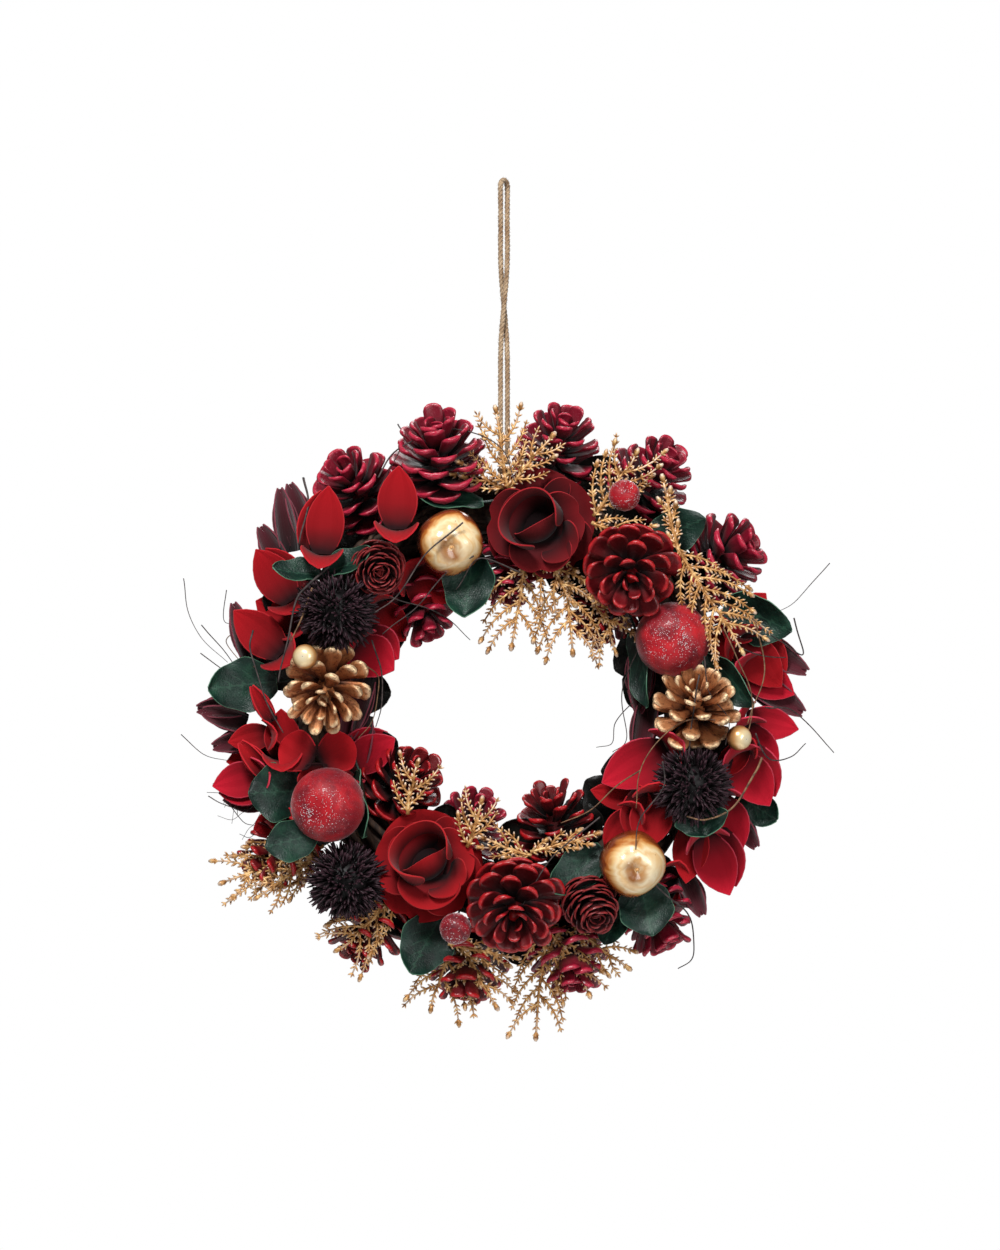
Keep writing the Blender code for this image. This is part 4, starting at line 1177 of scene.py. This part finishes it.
# Node or name; clock, radius and depth of its root; clock angle it points to; tip forward; roll about
# its midrib; length and width; how much it folds along its midrib; finish, where it isn't green.
LEAVES = [
    ("leaf_1", 66, 140, 14, 108, 4, 24, 42, 29, 0.5),
    ("leaf_2", 112, 146, 6, 122, 0, 0, 27, 22, 0.2),
    ("leaf_3", 196, 127, 20, 212, 8, -10, 40, 32, 0.1),
    ("leaf_4", 275, 132, 16, 264, 6, 0, 40, 31, 0.15),
    ("leaf_5", 348, 88, 24, 184, 10, 10, 40, 30, 0.3),
    ("left_leaf", 305, 127, 40, 268, 4, 40, 28, 17, 0.5),
    ("left_leaf_twin", 305, 127, 40, 74, 4, -40, 32, 18, 0.5),
    ("upper_leaf", 354, 116, 26, 264, 4, 50, 38, 20, 0.3),
    ("lower_left_leaf", 246, 127, 20, 268, 6, 0, 32, 34, 0.2),
    ("lower_left_leaf_low", 235, 132, 36, 256, 6, 0, 30, 24, 0.2),
    ("inner_left_leaf", 245, 93, 26, 160, 4, 62, 38, 20, 0.5),
    ("lower_leaf", 146, 102, 26, 228, 8, 10, 40, 24, 0.4),
    ("low_right_leaf", 143, 130, 26, 167, 6, 0, 32, 32, 0.2),
    ("low_right_leaf_left", 150, 134, 18, 196, 4, 20, 26, 20, 0.3),
    ("upper_right_leaf", 42, 124, 26, 68, 6, 0, 36, 25, 0.1),
    ("right_inner_leaf", 62, 86, 18, 160, 4, 58, 44, 20, 0.5),
    ("right_leaf", 77, 120, 26, 130, 4, 40, 40, 20, 0.4),
    # These three bed leaves are near black painted shade laid in gaps behind the trimmings.
    ("upper_left_bed_leaf", 318, 118, 3, 306, 0, 0, 34, 32, 0.1, SHADE_LEAF),
    ("upper_right_bed_leaf", 32, 110, 3, 48, 0, 0, 36, 34, 0.1, SHADE_LEAF),
    ("left_bed_leaf", 280, 112, 3, 270, 0, 0, 32, 30, 0.1, SHADE_LEAF),
    ("right_low_leaf", 118, 127, 40, 166, 10, 10, 18, 30, 0.4),
]


def make_leaf(name, clock, radius, depth, points_to, forward, roll, length, width, fold, finish=LEAF):
    """A broad leaf: waved at its edge, folded a little on its midrib, its side veins sunk."""
    place = facing(ring_point(clock, radius, depth), points_to, forward) @ spun(roll)
    length, width = length * MM, width * MM
    part = new_shape()
    rim, rib = (part.verts.layers.float[key] for key in ("rim", "rib"))
    bmesh.ops.create_grid(part, x_segments=14, y_segments=16, size=0.5)
    phase = draws.uniform(0, TURN)
    for vert in part.verts:
        vert[rim] = 1.0 if vert.is_boundary else 0.0
    for vert in part.verts:
        across, up = 2 * vert.co.x, vert.co.y + 0.5
        half = 0.5 * width * max(0.012, math.sin(math.pi * (0.06 + 0.94 * up))) ** 0.62
        wave = math.sin(9 * up + phase) * abs(across) ** 2
        x = half * across * (1 + 0.05 * math.sin(14 * up + phase))
        bend = -0.25 * length * up**2
        vein = abs(math.sin(math.pi * (5.5 * up - 2.1 * abs(across))))
        vein = max(vein**10, math.exp(-((across / 0.07) ** 2)))
        vert[rib] = vein
        back = bend + 0.085 * width * wave - fold * half * abs(across) ** 1.3 - 0.55 * MM * vein
        vert.co = (x, back, length * up)
    bmesh.ops.recalc_face_normals(part, faces=part.faces)
    bmesh.ops.solidify(part, geom=part.faces[:], thickness=0.5 * MM)
    bmesh.ops.transform(part, matrix=place, verts=part.verts)
    add_rod(part, [place @ Vector((0, 0.5 * MM, -h * MM)) for h in (10, 5, 0, -3)], 0.8 * MM)
    settle_trimming(part, name, "_blade", finish)


def make_bed_leaves():
    """Near black leaves laid round the ring in two rows: painted shade that fills the gaps between the
    trimmings.
    """
    for k in range(1, 18):
        clock = 20 * k + draws.uniform(-4, 4)
        points_to = clock + draws.uniform(-30, 30)
        make_leaf(f"outer_bed_leaf_{k}", clock, 116, 1, points_to, 0, 0, 38, 36, 0.1, SHADE_LEAF)
        if k < 16:
            clock = 22.5 * k + draws.uniform(-4, 4)
            points_to = clock + 180 + draws.uniform(-30, 30)
            make_leaf(f"inner_bed_leaf_{k + 1}", clock, 100, 2, points_to, 0, 0, 34, 30, 0.1, SHADE_LEAF)


def make_leaves():
    for row in LEAVES:
        make_leaf(*row)


make_leaves()
make_bed_leaves()


# ---------------------------------------------------------------- gold sprigs

def leaflet_form():
    """A tiny blunt leaflet, a unit long up Z."""
    bm = new_shape()
    bm.from_mesh(straight_rod(4, 5))
    for vert in bm.verts:
        k = round(vert.co.z)
        girth = (0.16, 0.24, 0.28, 0.12)[k]
        vert.co = (vert.co.x * girth, vert.co.y * girth * 0.8, k / 3)
    return kept(bm)


LEAFLET = leaflet_form()
LEAFLET_SPACING = 3.0 * MM
LEAFLET_TIP = 3.0 * MM
POD_TIP = 5.2 * MM
POD_SHARE = 0.4


def add_twig(bm, points, girth, pod):
    """A twig, giving a place, a side and a length for each leaflet that stands off it, and for its tip."""
    add_rod(bm, points, lambda t: girth * (0.5 - 0.22 * t) * MM, 5)
    route = smooth_route(points, 3)
    places = frames_along(route)
    reach = sum((b - a).length for a, b in zip(route, route[1:]))
    count = max(3, int(reach / LEAFLET_SPACING))
    for k in range(count):
        place = places[min(int((k + 0.6) / count * len(places)), len(places) - 1)]
        long = draws.uniform(3.2, 4.6) * MM * (1 - 0.3 * k / count)
        yield place, 1, long
        yield place, -1, long * draws.uniform(0.8, 1.1)
    yield places[-1], 0, POD_TIP if pod else LEAFLET_TIP


def make_sprig(name, place, length, width, crowd=6.4):
    """A flat cypress frond: a stem, side twigs every crowd mm, and leaflets on every twig."""
    bm = new_shape()
    stem = [Vector((draws.uniform(-0.8, 0.8) * MM, 0, length * h / 6)) for h in range(7)]
    leaflets = list(add_twig(bm, smooth_route(stem, 2), 2.4, True))
    shoots = max(5, round(length / (crowd * MM)))
    for k in range(shoots):
        side = 1 if k % 2 else -1
        share = 0.08 + 0.74 * k / shoots
        foot = stem[0].lerp(stem[-1], share)
        reach = 0.72 * width * (math.sin(math.pi * (0.24 + 0.66 * share)) ** 0.8) * draws.uniform(0.85, 1.1)
        lean = math.radians(draws.uniform(48, 62))
        bow = draws.uniform(-0.1, 0.12)
        points = []
        for step in range(5):
            s = step / 4
            across = side * math.sin(lean - 0.35 * s) * reach * s
            back = (bow * s * s + draws.uniform(-0.03, 0.03)) * reach
            points.append(foot + Vector((across, back, math.cos(lean - 0.35 * s) * reach * s)))
        leaflets.extend(add_twig(bm, points, 1.7, draws.random() < POD_SHARE))
    tip = bm.verts.layers.float["tip"]
    for vert in bm.verts:
        vert[tip] = min(max(vert.co.z / length, 0), 1) ** 2 * 0.9
    for spot, side, long in leaflets:
        flat = spot.to_3x3() @ Vector((0, 0, 1))
        across = Vector((flat.z, 0, -flat.x)).normalized()
        ahead = (flat + across * side * 0.95 + Vector((0, draws.uniform(-0.45, 0.25), 0))).normalized()
        turn = ahead.to_track_quat("Z", "Y").to_matrix().to_4x4()
        girth = long * (1.2 if long > 5 * MM else 0.8)
        size = Matrix.Diagonal((girth, girth, long, 1))
        add_copy(bm, LEAFLET, Matrix.Translation(spot.translation) @ turn @ size)
    bmesh.ops.transform(bm, matrix=place, verts=bm.verts)
    settle_trimming(bm, name, "_frond", GOLD_SPRIG, sharp=0)


# Node or name; clock, radius and depth of its root; clock angle it points to; tip forward; length and
# width; and mm from twig to twig, where they stand closer than in the others.
SPRIGS = [
    ("gold_sprig_1", 26, 118, 34, 34, 4, 42, 40, 5),
    ("gold_sprig_2", 9, 86, 22, 190, 4, 52, 42),
    ("gold_sprig_3", 169, 128, 18, 185, 2, 66, 38),
    ("gold_sprig_4", 231, 134, 16, 251, 2, 60, 36, 4.6),
    ("upper_sprig", 1, 122, 34, 352, 4, 44, 30),
    ("upper_sprig_right", 1, 122, 32, 39, 4, 38, 24),
    ("upper_sprig_left", 0, 122, 30, 303, 4, 28, 20),
    ("upper_right_sprig_low", 26, 114, 40, 108, 4, 34, 24),
    ("inner_sprig", 24, 88, 26, 176, 4, 50, 46, 5.4),
    ("inner_sprig_right", 38, 88, 24, 166, 4, 40, 34),
    ("inner_sprig_left", 14, 90, 30, 150, 4, 34, 30),
    ("right_sprig", 48, 132, 46, 147, 4, 68, 46, 5.4),
    ("right_sprig_stem", 49, 132, 44, 347, 0, 40, 9),
    ("left_low_sprig", 230, 136, 20, 236, 2, 44, 26, 4.6),
    ("lower_left_sprig", 209, 128, 24, 226, 2, 44, 38, 4.4),
    ("left_small_sprig", 221, 85, 40, 11, 4, 28, 26),
    ("low_small_sprig", 194, 86, 36, 16, 4, 26, 26),
    ("lower_small_sprig", 170, 90, 34, 290, 2, 28, 18),
    ("lower_small_sprig_right", 170, 88, 34, 74, 2, 38, 12),
    ("low_sprig_right", 168, 130, 16, 152, 2, 46, 28),
    ("low_right_sprig", 163, 136, 16, 128, 2, 38, 22),
    ("low_sprig", 192, 141, 16, 199, 2, 40, 36),
    ("low_sprig_middle", 191, 141, 18, 150, 2, 42, 32),
    ("low_sprig_upper", 193, 143, 26, 103, 2, 38, 14),
]


def make_sprigs():
    for name, clock, radius, depth, points_to, forward, length, width, *crowd in SPRIGS:
        place = facing(ring_point(clock, radius, depth), points_to, forward)
        make_sprig(name, place, length * MM, width * MM, *crowd)


make_sprigs()


# ---------------------------------------------------------------- tendrils

# Thickness in mm, finish, and a run of (clock, radius, depth) in mm.
TENDRILS = [
    (0.55, TAN_TENDRIL, [(72, 151, 38), (80, 151, 38), (86, 148, 41), (95, 139, 49)]),
    (0.5, DARK_TENDRIL, [(74, 175, 13), (81, 176, 12), (78, 164, 23), (73, 151, 34)]),
    (0.5, DARK_TENDRIL, [(77, 139, 45), (80, 151, 34), (81, 164, 23)]),
    (0.55, DARK_TENDRIL, [(82, 112, 54), (93, 107, 54), (105, 109, 54), (115, 110, 54)]),
    (0.5, TAN_TENDRIL, [(95, 126, 54), (95, 108, 54), (99, 96, 54), (113, 86, 54), (129, 96, 54)]),
    (0.55, DARK_TENDRIL, [(110, 96, 54), (118, 103, 54), (131, 102, 54), (141, 119, 54)]),
    (0.55, DARK_TENDRIL, [(141, 119, 44), (140, 142, 40), (139, 163, 22), (142, 179, 7), (144, 186, 4),
                          (147, 186, 4)]),
    (0.75, TAN_TENDRIL, [(102, 151, 42), (106, 149, 44), (115, 143, 50), (120, 133, 54), (122, 122, 54)]),
    (0.5, DARK_TENDRIL, [(97, 145, 44), (102, 155, 35), (101, 169, 22), (98, 176, 16)]),
    (0.5, DARK_TENDRIL, [(91, 150, 39), (92, 168, 23), (99, 195, 4)]),
    (0.8, DARK_TENDRIL, [(318, 173, 18), (315, 160, 30), (308, 148, 41)]),
    (0.8, DARK_TENDRIL, [(308, 126, 52), (301, 130, 52), (296, 132, 52), (286, 128, 52), (275, 129, 52)]),
    (0.7, TAN_TENDRIL, [(301, 127, 52), (293, 125, 52), (286, 126, 52)]),
    (0.6, DARK_TENDRIL, [(286, 150, 29), (281, 148, 31), (270, 136, 40), (262, 128, 40)]),
    (0.35, DARK_TENDRIL, [(284, 182, 4), (281, 169, 4), (277, 156, 10), (273, 140, 24)]),
    (0.35, DARK_TENDRIL, [(279, 179, 4), (276, 163, 4), (274, 150, 15)]),
    (0.3, DARK_TENDRIL, [(292, 174, 4), (286, 170, 4), (286, 162, 4)]),
    (0.35, TAN_TENDRIL, [(285, 160, 8), (282, 166, 4), (279, 156, 12), (278, 145, 22)]),
    (0.3, DARK_TENDRIL, [(291, 200, 4), (286, 192, 4), (282, 181, 4), (278, 163, 4)]),
    (0.3, DARK_TENDRIL, [(264, 189, 4), (260, 178, 4), (258, 164, 4)]),
    (0.35, DARK_TENDRIL, [(252, 181, 4), (250, 175, 4), (247, 163, 4), (247, 153, 4)]),
    (0.35, DARK_TENDRIL, [(254, 176, 4), (250, 171, 4), (245, 168, 4), (243, 162, 4)]),
    (0.55, DARK_TENDRIL, [(347, 105, 58), (333, 95, 58), (315, 86, 58), (305, 89, 58)]),
    (0.5, DARK_TENDRIL, [(348, 85, 49), (337, 82, 46), (317, 74, 39), (299, 80, 45)]),
    (0.4, DARK_TENDRIL, [(313, 89, 46), (324, 63, 25), (331, 40, 5)]),
    (0.5, DARK_TENDRIL, [(331, 147, 44), (337, 157, 35), (347, 160, 32), (354, 155, 37), (0, 143, 48),
                         (3, 125, 52)]),
    (0.45, DARK_TENDRIL, [(339, 172, 9), (339, 162, 18), (334, 149, 30), (330, 142, 36)]),
    (0.55, DARK_TENDRIL, [(7, 75, 44), (350, 83, 51), (337, 70, 40)]),
    (0.5, DARK_TENDRIL, [(140, 85, 51), (154, 87, 52), (166, 96, 52), (176, 119, 52)]),
    (0.5, TAN_TENDRIL, [(116, 87, 48), (128, 80, 43), (141, 79, 42), (155, 77, 40)]),
    (0.5, DARK_TENDRIL, [(295, 84, 44), (285, 73, 34), (270, 70, 32), (259, 75, 36)]),
    (0.4, TAN_TENDRIL, [(285, 83, 37), (280, 73, 28), (263, 76, 31), (256, 86, 40)]),
    (0.4, DARK_TENDRIL, [(66, 86, 34), (85, 69, 19), (106, 74, 23), (115, 69, 19)]),
    (0.35, DARK_TENDRIL, [(90, 75, 18), (101, 66, 10), (112, 67, 11), (117, 60, 5)]),
    (0.45, DARK_TENDRIL, [(77, 117, 50), (87, 117, 50), (94, 128, 50), (101, 128, 50)]),
    (0.45, TAN_TENDRIL, [(71, 132, 50), (80, 136, 50), (90, 142, 46), (100, 139, 49)]),
    (0.3, DARK_TENDRIL, [(67, 206, 4), (71, 181, 4), (72, 166, 4)]),
]


def make_tendrils():
    """Loose vine ends, thinner towards their tips, as one piece for each finish."""
    for finish, name in ((DARK_TENDRIL, "dark_tendrils"), (TAN_TENDRIL, "tan_tendrils")):
        bm = new_shape()
        for thick, own, run in TENDRILS:
            if own is finish:
                points = smooth_route([ring_point(*spot) for spot in run], 10)
                points = [p + MM * noise.noise_vector(p * 50) for p in points]
                add_rod(bm, points, lambda t, thick=thick: thick * (1 - 0.45 * t) * MM, 5)
        settle(bm, name, finish, sharp=0)


def make_tangle():
    """Fine roots that stray out at the lower left."""
    bm = new_shape()
    for _ in range(9):
        clock, radius = draws.uniform(244, 256), 140
        points = []
        for _ in range(6):
            points.append(ring_point(clock, radius, 6))
            clock += draws.uniform(-3.5, 2.5)
            radius += draws.uniform(3, 11)
        add_rod(bm, smooth_route(points, 4), lambda t: 0.3 * (1 - 0.4 * t) * MM, 4)
    settle(bm, "root_tangle", DARK_TENDRIL, sharp=0)


make_tendrils()
make_tangle()


# ---------------------------------------------------------------- studio

def make_studio():
    """A white backdrop, a dim even sky that lights the wreath, three soft lamps and a pale floor."""
    scene = bpy.context.scene
    scene.view_settings.view_transform = "Standard"
    world = bpy.data.worlds.new("studio")
    scene.world = world
    world.use_nodes = True
    sky = world.node_tree.nodes["Background"]
    sky.inputs["Color"].default_value = (1, 1, 1, 1)
    ray = world.node_tree.nodes.new("ShaderNodeLightPath")
    seen = world.node_tree.nodes.new("ShaderNodeMapRange")
    seen.inputs["To Min"].default_value = 0.19
    world.node_tree.links.new(ray.outputs["Is Camera Ray"], seen.inputs["Value"])
    world.node_tree.links.new(seen.outputs[0], sky.inputs["Strength"])

    def lamp(name, place, size, power, target=(0, 0, -0.28)):
        data = bpy.data.lights.new(name, "AREA")
        data.size, data.energy = size, power
        obj = bpy.data.objects.new(name, data)
        scene.collection.objects.link(obj)
        obj.location = place
        obj.rotation_euler = (Vector(target) - Vector(place)).to_track_quat("-Z", "Y").to_euler()

    # Name, place, side and power in watts.
    lamp("key_light", (-0.35, -1.35, 0.95), 0.45, 33)
    lamp("fill_light", (0.9, -1.3, -0.1), 0.7, 8)
    lamp("back_light", (0.2, 1.2, 0.9), 0.8, 9)
    bm = bmesh.new()
    bmesh.ops.create_circle(bm, segments=96, radius=0.5, cap_ends=True)
    bmesh.ops.translate(bm, verts=bm.verts, vec=(0, 0, -0.78))
    mesh = bpy.data.meshes.new("studio_floor")
    bm.to_mesh(mesh)
    bm.free()
    floor = bpy.data.objects.new("studio_floor", mesh)
    scene.collection.objects.link(floor)
    f = Finish("pale_floor", 0.8)
    pale = f.ramp(f.noise(6, 2), (0.3, rgb(238, 238, 238)), (0.7, rgb(246, 246, 246)))
    mesh.materials.append(f.done(pale))


make_studio()
